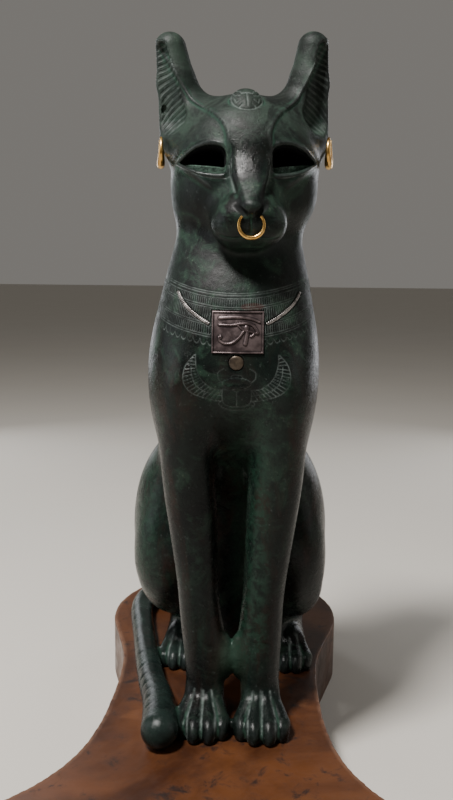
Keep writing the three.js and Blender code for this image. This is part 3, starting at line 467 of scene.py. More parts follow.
class Chasing:
    # how far the skin is raised, how deep a line cuts, and the count and strength of combed lines
    def __init__(self, p):
        self.height, self.groove, self.phase, self.comb = (np.zeros(p.shape[1]) for i in range(4))

    def engrave(self, mask, distance, wide, deep):
        line = bell(distance, wide)
        self.height[mask] = np.minimum(self.height[mask], -deep * line)
        self.groove[mask] = np.maximum(self.groove[mask], 0.6 * line)

    def engraveStrokes(self, mask, u, v, strokes, wide, deep):
        for stroke in strokes:
            self.engrave(mask, strokeDistance(u, v, np.asarray(stroke, float))[0], wide, deep)

    def combed(self, amount, count, strength=1.0):
        self.phase = np.where(amount > 0, count, self.phase)
        self.comb = np.maximum(self.comb, amount * strength)


def collarLevel(y, z):
    # the collar hangs lower in front than at the nape
    u = clamp(y - 18, -6, 63)
    return z - 0.44 * u + 0.0035 * u * u


def chaseCollar(cut, x, y, z):
    # double lines, rows of ticks and a fringe of leaves
    level = collarLevel(y, z)
    onNeck = (level > 236) & (level < 270) & (z < 292) & (z > 225)
    for line in collar["lines"]:
        near = onNeck & (np.abs(level - line) < 1.5)
        cut.engrave(near, level[near] - line, collar["wide"], collar["deep"])
    ticks = np.arctan2(x - 0.5, 72 - y) * collar["count"] / (2 * math.pi)
    for top, low in collar["ticks"]:
        cut.combed(onNeck * ramp(low - 0.1, low + 0.3, level) * ramp(top + 0.1, top - 0.3, level), ticks)
    top, low = collar["leaves"]
    leaf = np.abs((ticks / 3) % 1 - 0.5) * 2
    near = onNeck & (level < top + 0.3) & (level > low - 1)
    edge = low + (top - low) * (1 - np.sqrt(clamp(1 - leaf[near] ** 2))) - level[near]
    cut.engrave(near, edge * 0.75, collar["wide"], collar["deep"] * 0.5)


def scarabStrokes():
    # every list in its table is the points of one stroke
    drawn = [points for points in scarab.values() if isinstance(points, list)]
    strokes = [curveThrough(points, 6 * len(points)) for points in drawn]
    inner = curveThrough(scarab["wingInner"], 60)
    outer = curveThrough(scarab["wingOuter"], 60)
    for i in range(scarab["feathers"]):
        t = (i + 0.7) / scarab["feathers"]
        a, b = inner[int(60 * t)], outer[min(60, int(60 * t ** 0.92 + 2))]
        strokes.append(np.array([a, a + (b - a) * 0.96]))
    ring = np.linspace(-math.pi / 2, math.pi / 2, 15)
    wide, high, middle = scarab["shoulders"]
    strokes.append(np.stack([wide * np.cos(ring), middle + high * np.sin(ring)], 1))
    return strokes


def chaseScarab(cut, x, y, z):
    near = (np.abs(x - scarab["middle"]) < 33) & (z > 199) & (z < 235) & (y < 30)
    u, v = np.abs(x[near] - scarab["middle"]), z[near]
    cut.engraveStrokes(near, u, v, scarabStrokes(), scarab["wide"], scarab["deep"])
    wide, high, middle = scarab["shoulders"]
    inside = oval(u, v - middle, wide, high)
    cut.height[near] += 0.35 * clamp(1 - inside ** 2 / 9) * (inside < 0)


def sinkBeds(cut, x, y, z):
    front = y < 45
    u, v = np.abs(x - plaque["x"]) - plaque["wide"] / 2, np.abs(z - plaque["z"]) - plaque["high"] / 2
    cut.height -= beds["plaque"] * ramp(*beds["wall"], np.maximum(u, v)) * front
    far = np.hypot(x - disc["x"], z - disc["z"]) - disc["r"]
    cut.height -= beds["disc"] * ramp(*beds["wall"], far) * front
    far, _ = strokeDistance(np.abs(x - plaque["x"]), z, curveThrough(cord["path"], 12))
    cut.height -= beds["cord"] * ramp(1.5, 1.0, far) * front * (z > 245)


def chaseFace(cut, hx, y, z):
    # second line below the eye, the line from its inner corner down the nose, and rows for the whiskers
    ax = np.abs(hx)
    face = (z > 290) & (y < 50)
    e = eyeOutline(ax, z)
    lid = face & (z < 342) & (e > 0) & (e < 6)
    cut.engrave(lid, (e[lid] - 2.5) * 1.2, 0.4, 0.3)
    tear = face & (y < 34)
    cut.engraveStrokes(tear, ax[tear], z[tear], [marks["tear"]], 0.55, 0.45)
    cheeks = face & (y < 40) & (ax > 8)
    for line in marks["whiskers"]:
        far, _ = strokeDistance(ax[cheeks], z[cheeks], np.array(line))
        cut.height[cheeks] -= 0.12 * bell(far, 0.5)


def chaseBoss(cut, hx, y, z):
    # up is measured along the sloping forehead
    (_, y0, z0), _, tilt = head["boss"]
    up = ((y - y0) * math.sin(-tilt) + (z - z0) * math.cos(-tilt)) * boss["squeeze"]
    near = (np.abs(hx) < 12) & (np.abs(up) < 9.5) & (y < 48) & (z > 360)
    u, v = np.abs(hx[near]), up[near]
    cut.engraveStrokes(near, u, v, boss["strokes"], 0.4, 0.4)
    cut.engrave(near, oval(u, v, *boss["rim"]) + 0.1, 0.4, 0.35)


def combEars(cut, x, hx, y, z):
    # ribs across the hollows of the ears, and the pit in the one on the viewer's left
    ax = np.abs(hx)
    wall = bar(ax, y, z, *ear["hollow"])
    inEar = ramp(350, 368, z) * (ax > 28)
    inside = inEar * ramp(0.6, 0.1, wall) * ramp(34, 37, ax - 0.2 * (z - 380))
    t = ax - 30
    rib = (z + (0.3 + 0.7 * ramp(398, 364, z)) * (0.2 * t + 0.028 * t * t)) / marks["ribs"]
    cut.combed(inside, rib, 0.9)
    px, py, pz = marks["earHole"]
    pit = np.sqrt((x - px) ** 2 + (y - py) ** 2 + ((z - pz) / 1.6) ** 2)
    cut.height -= 1.8 * ramp(1.9, 1.1, pit)


def lineToes(cut, x, y, z):
    for aside, tips, size in (paws["front"], paws["hind"]):
        u, t = (np.abs(x - leanAt(y, z)) - aside) / size, (y - tips) / size
        paw = (z < 24 * size) & (np.abs(u) < 20) & (t > -3) & (t < 30)
        for off in paws["between"]:
            line = off * (1 - 0.6 * clamp((t[paw] - 10) / 22))
            cut.height[paw] -= 0.25 * bell(u[paw] - line, 0.5)
            cut.groove[paw] = np.maximum(cut.groove[paw], bell(u[paw] - line, 0.6) * ramp(29, 24, t[paw]))


def notchTail(cut, p):
    # notches along the last half, and a groove before the tip
    onTail = (p[2] < 22) & (p[0] < -12)
    run, far = np.zeros(onTail.sum()), np.full(onTail.sum(), 1e9)
    for i in range(tail["steps"]):
        a, d = tailLine[i], tailLine[i + 1] - tailLine[i]
        q = p[:, onTail] - a[:, None]
        t = clamp((q * d[:, None]).sum(0) / (d @ d))
        gap = np.sqrt(((q - d[:, None] * t) ** 2).sum(0))
        closer = gap < far
        far = np.where(closer, gap, far)
        run = np.where(closer, i + t, run)
    close = ramp(13.5, 12.4, far)
    beat = (run * marks["tailBeat"]) % 1
    notch = 0.45 * bell(np.minimum(beat, 1 - beat), 0.07)
    cut.height[onTail] -= notch * (close * ramp(39.3, 38.3, run)) * ramp(16, 20, run)
    cut.height[onTail] -= 0.2 * bell(run - marks["tailTip"], 0.14) * close


def chase(p):
    x, y, z = p
    hx = headAside(x, y, z)
    cut = Chasing(p)
    chaseCollar(cut, x, y, z)
    chaseScarab(cut, x, y, z)
    sinkBeds(cut, x, y, z)
    chaseFace(cut, hx, y, z)
    chaseBoss(cut, hx, y, z)
    combEars(cut, x, hx, y, z)
    lineToes(cut, x, y, z)
    notchTail(cut, p)
    return cut


# The casting. Its grid follows the cat's outline: walls by height, and rows closer in the head and paws.

skin = {
    "heights": [-3, 30, 45, 60, 120, 170, 215, 260, 300, 330, 370, 424],
    "left": [-94, -94, -85, -84, -84, -75, -61, -58, -54, -53, -59, -60],
    "right": [67, 67, 67, 67, 67, 61, 56, 54, 54, 55, 62, 62],
    "front": [-14, -14, 4, 10, 12, 8, 0, 2, -5, -1, 17, 38],
    "rear": [246, 246, 235, 226, 206, 180, 156, 130, 112, 112, 108, 92],
    "columns": 74,
    "rows": 92,
    "rise": 2.45,
    "most": 194000,         # triangles, once thinned
}


def surfaceNets(value, at):
    # one vertex in each cell the skin crosses, one quad round each edge it cuts
    solid = value < 0
    shape = value.shape
    corners = [(i, j, k) for i in (0, 1) for j in (0, 1) for k in (0, 1)]
    some = np.zeros([n - 1 for n in shape], bool)
    every = np.ones_like(some)
    for c in corners:
        part = solid[tuple(slice(c[a], shape[a] - 1 + c[a]) for a in range(3))]
        some |= part
        every &= part
    cells = np.nonzero(some & ~every)
    index = np.full(some.shape, -1)
    index[cells] = np.arange(len(cells[0]))
    total, count = np.zeros((len(cells[0]), 3)), np.zeros(len(cells[0]))
    for start in corners:
        for axis in range(3):
            if start[axis]:
                continue
            end = tuple(1 if a == axis else start[a] for a in range(3))
            ia = tuple(cells[a] + start[a] for a in range(3))
            ib = tuple(cells[a] + end[a] for a in range(3))
            fa, fb = value[ia], value[ib]
            cut = (fa < 0) != (fb < 0)
            t = np.where(cut, fa / np.where(cut, fa - fb, 1), 0)[:, None]
            total[cut] += (at[ia] + (at[ib] - at[ia]) * t)[cut]
            count[cut] += 1
    faces = []
    for axis in range(3):
        one, two = (axis + 1) % 3, (axis + 2) % 3
        low, high = [slice(1, -1)] * 3, [slice(1, -1)] * 3
        low[axis], high[axis] = slice(0, -1), slice(1, None)
        inside = solid[tuple(low)]
        edges = np.nonzero(inside != solid[tuple(high)])
        base = [edges[a] + (0 if a == axis else 1) for a in range(3)]
        quads = []
        for d1, d2 in ((0, 0), (1, 0), (1, 1), (0, 1)):
            cell = list(base)
            cell[one], cell[two] = cell[one] - d1, cell[two] - d2
            quads.append(index[tuple(cell)])
        quads = np.stack(quads, 1)
        turned = ~inside[edges]
        quads[turned] = quads[turned][:, ::-1]
        faces.append(quads)
    return total / count[:, None], np.concatenate(faces)


def coarseSkin():
    z = [-3.0]
    while z[-1] < skin["heights"][-1]:
        closer = 0.42 * ramp(200, 262, z[-1])
        z.append(z[-1] + skin["rise"] * (1 - closer - 0.3 * ramp(40, 26, z[-1])))
    z = np.array(z)
    sides = ("left", "right", "front", "rear")
    x0, x1, y0, y1 = (np.interp(z, skin["heights"], skin[side]) for side in sides)
    u = np.linspace(0, 1, skin["columns"])[:, None, None]
    v = np.linspace(0, 1, skin["rows"])[None, :, None]
    at = np.empty((skin["columns"], skin["rows"], len(z), 3))
    at[..., 0] = x0 + (x1 - x0) * u
    at[..., 1] = y0 + (y1 - y0) * v
    at[..., 2] = z
    value = catForm(at.reshape(-1, 3).T.copy()).reshape(at.shape[:3])
    value[:, :, [0, -1]] = np.maximum(value[:, :, [0, -1]], 0.05)
    return surfaceNets(value, at)


def fillMesh(mesh, points, faces):
    mesh.vertices.add(len(points))
    mesh.vertices.foreach_set("co", points.ravel())
    mesh.loops.add(faces.size)
    mesh.loops.foreach_set("vertex_index", faces.ravel())
    mesh.polygons.add(len(faces))
    mesh.polygons.foreach_set("loop_start", np.arange(0, faces.size, faces.shape[1]))
    mesh.update(calc_edges=True)


def placesOf(mesh):
    places = np.empty(len(mesh.vertices) * 3)
    mesh.vertices.foreach_get("co", places)
    return places.reshape(-1, 3)


def refine(mesh, zones):
    # cuts every quad inside one of the zones into four
    p = placesOf(mesh).T
    inside = np.any([zone(p) for zone in zones], axis=0)
    work = bmesh.new()
    work.from_mesh(mesh)
    edges = [e for e in work.edges if inside[e.verts[0].index] and inside[e.verts[1].index]]
    bmesh.ops.subdivide_edges(work, edges=edges, cuts=1, use_grid_fill=True)
    work.to_mesh(mesh)
    work.free()


def drawnOnto(p, h, most):
    # one step towards the form, of so many millimetres at most
    value, slope, _ = slopeOf(p.T.copy(), h)
    return p - clamp(value * slope / ((slope ** 2).sum(0) + 0.05), -most, most).T


def settle(mesh, rounds, drift):
    # evens the vertices out along the form and draws them back onto it
    edges = np.empty(len(mesh.edges) * 2, int)
    mesh.edges.foreach_get("vertices", edges)
    a, b = edges[::2], edges[1::2]
    p = placesOf(mesh)
    count = (np.bincount(a, minlength=len(p)) + np.bincount(b, minlength=len(p)))[:, None]
    for i in range(rounds):
        total = [np.bincount(a, p[b, c], len(p)) + np.bincount(b, p[a, c], len(p)) for c in range(3)]
        p = p + drift * (np.stack(total, 1) / count - p)
        p = drawnOnto(p, 0.25, 1.2)
    p = drawnOnto(p, 0.12, 1)
    p[:, 2] = np.maximum(p[:, 2], 0)
    mesh.vertices.foreach_set("co", p.ravel())


def chestZone(p):
    level = collarLevel(p[1], p[2])
    return (np.abs(p[0]) < 47) & (p[1] < 42) & (level > 237) & (p[2] < 282) & (level < 269)


def scarabZone(p):
    return (np.abs(p[0] - scarab["middle"]) < 34) & (p[1] < 26) & (p[2] > 198) & (p[2] < 236)


def faceZone(p):
    return (np.abs(headAside(*p)) < 42) & (p[1] < 46) & (p[2] > 296) & (p[2] < 358)


def eyeZone(p):
    e = eyeOutline(np.abs(headAside(*p)), p[2])
    return (e < 3.4) & (e > -4.5) & (p[1] < 50)


def muzzleZone(p):
    return (np.abs(headAside(*p)) < 17) & (p[2] > 296) & (p[2] < 321) & (p[1] < 24)


def bossZone(p):
    return (np.abs(headAside(*p)) < 12.5) & (p[2] > 361) & (p[2] < 386) & (p[1] < 48) & (p[1] > 18)


def earZone(p):
    return (np.abs(headAside(*p)) > 24) & (p[2] > 360) & (p[1] < 72)


def earRimZone(p):
    ax = np.abs(headAside(*p))
    wall = bar(ax, p[1], p[2], *ear["hollow"])
    return (ax > 28) & (p[2] > 360) & (p[1] < 66) & (wall > -0.6) & (wall < 2.6)


def pawZone(p):
    return ((p[2] < 30) & (p[1] < 36)) | ((p[2] < 20) & (p[1] < 118) & (np.abs(p[0]) < 68))


def collarLineZone(p):
    level = collarLevel(p[1], p[2])
    near = np.min([np.abs(level - line) for line in collar["lines"]], axis=0) < 1.1
    return chestZone(p) & (near | ((level < 244.6) & (level > 238)))


def setNumbers(mesh, name, values):
    layer = mesh.attributes.new(name, "FLOAT", "POINT")
    layer.data.foreach_set("value", np.ascontiguousarray(values, dtype=np.float32))


def shadeSmooth(mesh, sharp=None):
    mesh.polygons.foreach_set("use_smooth", np.ones(len(mesh.polygons), bool))
    if sharp:
        mesh.set_sharp_from_angle(angle=math.radians(sharp))


def setPiece(piece, solid):
    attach(piece, "root")
    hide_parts(solid)


def newPiece(name, mesh, finish, solid):
    mesh.materials.append(finish)
    piece = bpy.data.objects.new(name, mesh)
    bpy.context.scene.collection.objects.link(piece)
    setPiece(piece, solid)


def triangles(mesh):
    return sum(len(q.vertices) - 2 for q in mesh.polygons)


def thinned(mesh, most):
    # collapses edges where the form is smooth, so the relief keeps the finest faces
    piece = bpy.data.objects.new("thinned", mesh)
    bpy.context.scene.collection.objects.link(piece)
    modifier = piece.modifiers.new("thin", "DECIMATE")
    modifier.ratio = min(most / triangles(mesh), 1)
    graph = bpy.context.evaluated_depsgraph_get()
    result = bpy.data.meshes.new_from_object(piece.evaluated_get(graph), depsgraph=graph)
    bpy.data.objects.remove(piece)
    bpy.data.meshes.remove(mesh)
    return result


def markSkin(mesh, p, cut, roundness):
    # where the finish is worn, green or filled with dust, and where painted shade darkens the empty eye
    # sockets and the nostrils
    x, y, z = headAside(*p), p[1], p[2]
    ax = np.abs(x)
    inEye = (eyeOutline(ax, z) < 0.7) & (y < 50) & (y - faceSkin(x, z) > 0.8)
    ledge = inEye & (z < eye["hollow"] + 0.5 + 0.15 * (ax - eye["inner"]))
    nostril = ramp(1.9, 0.3, bar(ax, y, z, *head["nostril"]))
    web = bell(p[0] + 1, 8) * bell(z - 41, 15) * (y < 46)
    setNumbers(mesh, "groove", cut.groove)
    setNumbers(mesh, "crest", ramp(0.12, 0.75, roundness))
    setNumbers(mesh, "valley", np.maximum(ramp(-0.06, -0.5, roundness), web) * (1 - nostril))
    setNumbers(mesh, "socket", np.maximum(inEye & ~ledge, 0.8 * nostril))
    setNumbers(mesh, "ledge", ledge)
    corner = np.empty(len(mesh.loops), int)
    mesh.loops.foreach_get("vertex_index", corner)
    combing = np.stack([cut.phase, cut.comb], 1)[corner].astype(np.float32)
    mesh.uv_layers.new(name="etch").data.foreach_set("uv", combing.ravel())


def castBody(finish):
    mesh = bpy.data.meshes.new("fullBody")
    points, faces = coarseSkin()
    fillMesh(mesh, points, faces)
    print("body: coarse skin", len(faces), "quads")
    refine(mesh, (chestZone, scarabZone, faceZone, bossZone, pawZone, earZone))
    settle(mesh, 1, 0.4)
    refine(mesh, (eyeZone, scarabZone, bossZone, muzzleZone, collarLineZone, earRimZone))
    settle(mesh, 3, 0.35)
    p = placesOf(mesh).T.copy()
    cut = chase(p)
    _, slope, _ = slopeOf(p, 0.2)
    _, _, roundness = slopeOf(p, 1.1)
    normal = slope / (np.sqrt((slope ** 2).sum(0)) + 1e-9)
    mesh.vertices.foreach_set("co", (p + normal * cut.height).T.ravel())
    markSkin(mesh, p, cut, roundness)
    mesh = thinned(mesh, skin["most"])
    mesh.name = "castBody"
    low, high = (np.array(c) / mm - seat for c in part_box("cat_body"))
    mesh.vertices.foreach_set("co", toPart(np.clip(placesOf(mesh), low, high)).ravel())
    shadeSmooth(mesh)
    mesh.update()
    print("body: finished,", triangles(mesh), "triangles")
    newPiece("castBody", mesh, finish, "cat_body")


# Finishes. Every pattern reads Object coordinates, the skin's own numbers or its etch map.

def node(tree, kind, inputs=None, **settings):
    made = tree.nodes.new(kind)
    for name, value in settings.items():
        setattr(made, name, value)
    for key, value in (inputs or {}).items():
        if isinstance(value, bpy.types.NodeSocket):
            tree.links.new(value, made.inputs[key])
        else:
            made.inputs[key].default_value = value
    return made


def sums(tree, operation, a, b=0.0, c=0.0):
    return node(tree, "ShaderNodeMath", {0: a, 1: b, 2: c}, operation=operation).outputs[0]


class Finish:
    # a new material and short names for the nodes that it is built from
    def __init__(self, name):
        self.material = bpy.data.materials.new(name)
        self.material.use_nodes = True
        self.tree = self.material.node_tree
        self.tree.nodes.clear()
        self.shader = self.add("BsdfPrincipled")
        self.add("OutputMaterial", {"Surface": self.shader.outputs[0]}).location = (300, 0)
        self.place = self.add("TexCoord").outputs["Object"]

    def add(self, kind, inputs=None, **settings):
        return node(self.tree, "ShaderNode" + kind, inputs, **settings)

    def times(self, first, *others):
        for value in others:
            first = sums(self.tree, "MULTIPLY", first, value)
        return first

    def most(self, first, *others):
        for value in others:
            first = sums(self.tree, "MAXIMUM", first, value)
        return first

    def plus(self, base, *parts):
        # each part is a mask and how much of it is added
        for mask, amount in parts:
            base = sums(self.tree, "MULTIPLY_ADD", mask, amount, base)
        return base

    def spread(self, value, low, high, to=(0.0, 1.0)):
        inputs = {"Value": value, "From Min": low, "From Max": high, "To Min": to[0], "To Max": to[1]}
        return self.add("MapRange", inputs, interpolation_type="SMOOTHSTEP").outputs[0]

    def band(self, value, a, b, c, d):
        # full between b and c, and nothing past a and d
        return self.times(self.spread(value, a, b), self.spread(value, d, c))

    def tint(self, amount, a, b):
        a, b = (c if isinstance(c, bpy.types.NodeSocket) else (*c, 1) for c in (a, b))
        return self.add("Mix", {0: amount, 6: a, 7: b}, data_type="RGBA").outputs[2]

    def noise(self, scale, detail=4.0, rough=0.55, distortion=0.0, stretch=None):
        place = self.place
        if stretch:
            place = self.add("Mapping", {"Vector": place, "Scale": stretch}).outputs[0]
        inputs = {"Vector": place, "Scale": scale, "Detail": detail, "Roughness": rough,
                  "Distortion": distortion}
        return self.add("TexNoise", inputs).outputs[0]

    def number(self, name):
        return self.add("Attribute", attribute_name=name).outputs["Fac"]

    def bumps(self, *layers):
        # each layer is a height from 0 to 1, its distance in metres and its strength
        normal = None
        for height, distance, strength in layers:
            inputs = {"Height": height, "Distance": distance, "Strength": strength}
            if normal:
                inputs["Normal"] = normal
            normal = self.add("Bump", inputs).outputs[0]
        return normal

    def connect(self, **inputs):
        for key, value in inputs.items():
            socket = self.shader.inputs[key.replace("_", " ")]
            if isinstance(value, bpy.types.NodeSocket):
                self.tree.links.new(value, socket)
            else:
                socket.default_value = value
        return self.material


# the patina's colours, in the order in which its layers lie on each other, with painted shade and sheen among
# them
patina = {
    "bronze": (0.0022, 0.0029, 0.0029),
    "mottle": (0.0062, 0.0108, 0.0086),
    "green": (0.0155, 0.0335, 0.0222),
    "grain": (0.0025, 0.0038, 0.0038),
    "rust": (0.024, 0.0105, 0.0075),
    "stain": (0.03, 0.008, 0.006),
    "crystals": (0.06, 0.085, 0.055),
    "paintedShade": (0.002, 0.0026, 0.0026),
    "verdigris": (0.0102, 0.0255, 0.0168),
    "paintedSheen": (0.0115, 0.019, 0.0165),
    "forehead": (0.022, 0.031, 0.025),
    "specks": (0.055, 0.066, 0.062),
    "worn": (0.05, 0.057, 0.056),
    "hollows": (0.02, 0.05, 0.034),
    "dust": (0.14, 0.165, 0.155),
    "socket": (0.002, 0.0025, 0.0025),
    "crust": (0.065, 0.11, 0.083),
}


# heights and places below are metres of the part
def bronzePatina():
    f = Finish("bronzePatina")
    cloud, patches = f.noise(15, 6, 0.62, 0.6), f.noise(46, 8, 0.7, 1.0)
    grain, speckle = f.noise(190, 6, 0.75, 0.4), f.noise(560, 4, 0.7)
    aside, back, high = f.add("SeparateXYZ", {0: f.place}).outputs
    crest, valley, groove = f.number("crest"), f.number("valley"), f.number("groove")
    socket, ledge = f.number("socket"), f.number("ledge")
    green = f.times(f.spread(patches, 0.48, 0.66), f.spread(high, 0.12, 0.36, (0.8, 1)))
    # brown streaks down the legs
    streaks = f.spread(f.noise(55, 6, 0.65, 0.6, (1, 1, 0.2)), 0.46, 0.66)
    legs = sums(f.tree, "MULTIPLY_ADD", f.band(high, 0.05, 0.09, 0.2, 0.3), 0.8, 0.1)
    # a stain of old inlay above the plaque
    u = sums(f.tree, "MULTIPLY_ADD", aside, 140.0, -2.94)
    v = sums(f.tree, "MULTIPLY_ADD", high, 420.0, -128.3)
    far = sums(f.tree, "ADD", f.times(u, u), f.times(v, v))
    far = sums(f.tree, "MULTIPLY_ADD", grain, 1.6, sums(f.tree, "SUBTRACT", far, 0.8))
    # greener on the flank beside the tail and down the inner half of the other foreleg
    flank = f.times(f.spread(aside, -0.036, -0.05), f.spread(back, -0.05, -0.02))
    foreleg = f.band(aside, 0.006, 0.013, 0.027, 0.037)
    greener = f.times(f.most(flank, foreleg), f.band(high, 0.07, 0.1, 0.22, 0.26))
    # the tail and the hind paw beside it, lightened by a painted sheen and made glossier
    byTail = f.times(f.spread(aside, -0.016, -0.022), f.spread(high, 0.085, 0.07))
    # lines filled with pale dust, combed ones drawn by the etch map
    etch = f.add("SeparateXYZ", {0: f.add("UVMap", uv_map="etch").outputs[0]}).outputs
    tooth = sums(f.tree, "SUBTRACT", sums(f.tree, "FRACT", etch[0]), 0.5)
    cut = f.times(f.spread(sums(f.tree, "ABSOLUTE", tooth), 0.3, 0.12), etch[1])
    dusty = f.spread(f.noise(130, 6, 0.75), 0.4, 0.62, (0.22, 1))
    pale = f.times(f.most(groove, f.times(cut, 0.4)), dusty)
    crust = f.times(ledge, f.spread(f.noise(330, 6, 0.75), 0.38, 0.6, (0.15, 1)))
    layers = {
        "mottle": f.spread(cloud, 0.4, 0.62),
        "green": f.times(green, 0.85),
        "grain": f.times(f.spread(grain, 0.5, 0.72), 0.7),
        "rust": f.times(streaks, legs, f.spread(grain, 0.35, 0.6, (0.35, 1))),
        "stain": f.times(f.spread(far, 1.1, 0.5), f.spread(back, -0.04, -0.06), 0.7),
        "crystals": f.times(f.spread(speckle, 0.58, 0.68), green, 0.75),
        # painted shade: the front of the cat darkens towards the bottom, where less light falls
        "paintedShade": f.times(f.spread(high, 0.3, 0.12, (0, 0.5)), f.spread(back, 0.0, -0.03)),
        "verdigris": f.times(greener, f.spread(grain, 0.4, 0.58, (0.9, 0.2))),
        # painted sheen: lighter blue-grey over the tail and the hind paw, standing in for light from the
        # viewer's left
        "paintedSheen": f.times(byTail, f.spread(patches, 0.36, 0.6, (0.25, 0.75))),
        "forehead": f.times(f.spread(high, 0.39, 0.41), f.spread(patches, 0.4, 0.6, (0.15, 0.6))),
        "specks": f.times(f.spread(f.noise(420, 5, 0.7), 0.6, 0.72), f.spread(cloud, 0.3, 0.6, (0.2, 0.7))),
        "worn": f.times(crest, f.spread(grain, 0.35, 0.62, (0.2, 1)), 0.4),
        "hollows": f.times(valley, f.spread(grain, 0.3, 0.6, (0.3, 1)), 0.7),
        "dust": f.times(pale, 0.8),
        # painted shade: near black in the empty eye sockets and round the nostrils
        "socket": socket,
        "crust": crust,
    }
    colour = patina["bronze"]
    for name, amount in layers.items():
        colour = f.tint(amount, colour, patina[name])
    # glossier where worn and on the tail, duller on the neck and breast, the cheeks and the crown
    rough = sums(f.tree, "ADD", f.spread(patches, 0.35, 0.68, (0.17, 0.29)),
                 f.spread(grain, 0.4, 0.7, (0, 0.12)))
    neck, cheeks = f.band(high, 0.275, 0.305, 0.335, 0.355), f.band(high, 0.352, 0.36, 0.373, 0.381)
    rough = f.plus(rough, (crest, -0.06), (neck, 0.24), (f.spread(high, 0.392, 0.402), 0.26), (cheeks, 0.17),
                   (byTail, -0.06))
    rough = f.most(rough, f.times(pale, 0.8), f.times(ledge, 0.6), socket)
    # pits, fine grain, the crust on the eye ledges and the combed lines
    pits = f.add("TexVoronoi", {"Vector": f.place, "Scale": 260.0, "Randomness": 1.0}).outputs[0]
    pitted = f.times(f.spread(pits, 0.16, 0.05), f.spread(patches, 0.5, 0.62), -0.6)
    relief = f.plus(pitted, (speckle, 0.35), (f.noise(34, 3, 0.5), 1.6), (grain, 0.9), (crust, 2.2))
    normal = f.bumps((relief, 0.00036, 1.0), (f.times(cut, -1), 0.00025, 1.0))
    return f.connect(Base_Color=colour, Roughness=rough, Normal=normal, Metallic=0.0, IOR=1.5,
                     Specular_IOR_Level=0.15)


# how dark and light, how rough, how metallic, and how fine the pattern of each worked metal is
metals = {
    "gold": ((0.5, 0.27, 0.075), (0.78, 0.5, 0.17), (0.16, 0.34), 1.0, 120),
    "tarnishedSilver": ((0.055, 0.04, 0.041), (0.135, 0.102, 0.102), (0.28, 0.46), 0.7, 140),
    "cordSilver": ((0.12, 0.11, 0.106), (0.36, 0.335, 0.32), (0.26, 0.44), 0.85, 300),
    "dullCopper": ((0.035, 0.026, 0.019), (0.085, 0.064, 0.044), (0.28, 0.44), 0.6, 160),
}


def workedMetal(name):
    dark, light, roughness, metallic, scale = metals[name]
    f = Finish(name)
    cloud, grain = f.noise(scale, 5, 0.6, 0.3), f.noise(scale * 9, 4, 0.6)
    grime = f.times(f.number("groove"), f.spread(grain, 0.25, 0.6, (0.55, 1)))
    colour = f.tint(f.spread(cloud, 0.35, 0.68), dark, light)
    colour = f.tint(grime, colour, tuple(0.16 * c for c in dark))
    rough = f.most(f.spread(cloud, 0.3, 0.7, roughness), f.times(grime, 0.6))
    scratches = f.noise(scale * 16, 2, 0.5, 0, (1, 1, 0.08))
    normal = f.bumps((grain, 0.00006, 0.7), (scratches, 0.00003, 0.5))
    return f.connect(Base_Color=colour, Roughness=rough, Normal=normal, Metallic=metallic)


def plinthFinish():
    f = Finish("plinthFinish")
    fleck, edge = f.noise(75, 6, 0.7, 0.5), f.number("edge")
    cloud = f.spread(f.noise(9, 6, 0.62, 0.9), 0.36, 0.64)
    spots = f.spread(f.noise(30, 5, 0.6, 0.4), 0.6, 0.72)
    colour = f.tint(cloud, (0.03, 0.0102, 0.0046), (0.084, 0.0295, 0.0102))
    colour = f.tint(f.spread(fleck, 0.54, 0.68), colour, (0.016, 0.008, 0.006))
    colour = f.tint(f.times(spots, 0.55), colour, (0.12, 0.048, 0.02))
    worn = f.times(edge, f.spread(fleck, 0.35, 0.6), 0.7)
    colour = f.tint(worn, colour, (0.14, 0.07, 0.038))
    rough = f.plus(f.spread(fleck, 0.3, 0.7, (0.3, 0.48)), (edge, 0.3))
    scratches = f.noise(700, 2, 0.5, 0, (0.05, 1, 1))
    normal = f.bumps((fleck, 0.00012, 0.6), (scratches, 0.00004, 0.4))
    return f.connect(Base_Color=colour, Roughness=rough, Normal=normal, Metallic=0.0, IOR=1.5,
                     Specular_IOR_Level=0.3, Coat_Weight=0.06, Coat_Roughness=0.25)


# The plaque and the disc, set in the breast.

def breastAt(x, z):
    # walks in from before the breast until it meets the skin
    y = np.full(x.shape, -6.0)
    for i in range(36):
        y = y + 0.8 * catForm(np.array([x, y, z]))
    return y


def meshOf(name, points, faces):
    mesh = bpy.data.meshes.new(name)
    mesh.from_pydata(points.tolist(), [], faces)
    return mesh


def around(rows, count, first=0):
    # for each quad between closed rows of points, the two points of its lower side
    return [(first + k * count + i, first + k * count + (i + 1) % count)
            for k in range(rows - 1) for i in range(count)]


eyeSign = {
    "rim": 0.7,
    "sunk": 0.85,
    "strokes": [
        # points about the plaque's middle, then half widths at the two ends
        ([(-10.3, 8), (-4, 8.4), (2, 8.4), (8.2, 7.4), (12.4, 5.7)], 1.1, 0.6),
        ([(-10.5, 4.2), (-3.4, 4.1), (1.8, 4.9), (6, 5), (9.2, 3.4), (11.4, -0.2)], 0.8, 0.75),
        ([(0.2, 3.8), (3.6, 1.2), (7.4, 0.4), (11, -0.6)], 0.5, 0.6),
        ([(5.6, 0.6), (5.0, -3), (4.4, -6.3)], 1.0, 1.15),
        ([(9.2, -0.8), (8.4, -1.6), (7.4, -2.2)], 0.6, 0.6),
        ([(3.2, 0.4), (0.5, -3.2), (-3.2, -5.9), (-7.2, -6.3), (-10, -4.8), (-10.7, -2.8)], 0.75, 0.7),
    ],
    "balls": [(5.1, 2.7, 1.6), (-9.8, -2.7, 1.15)],
}


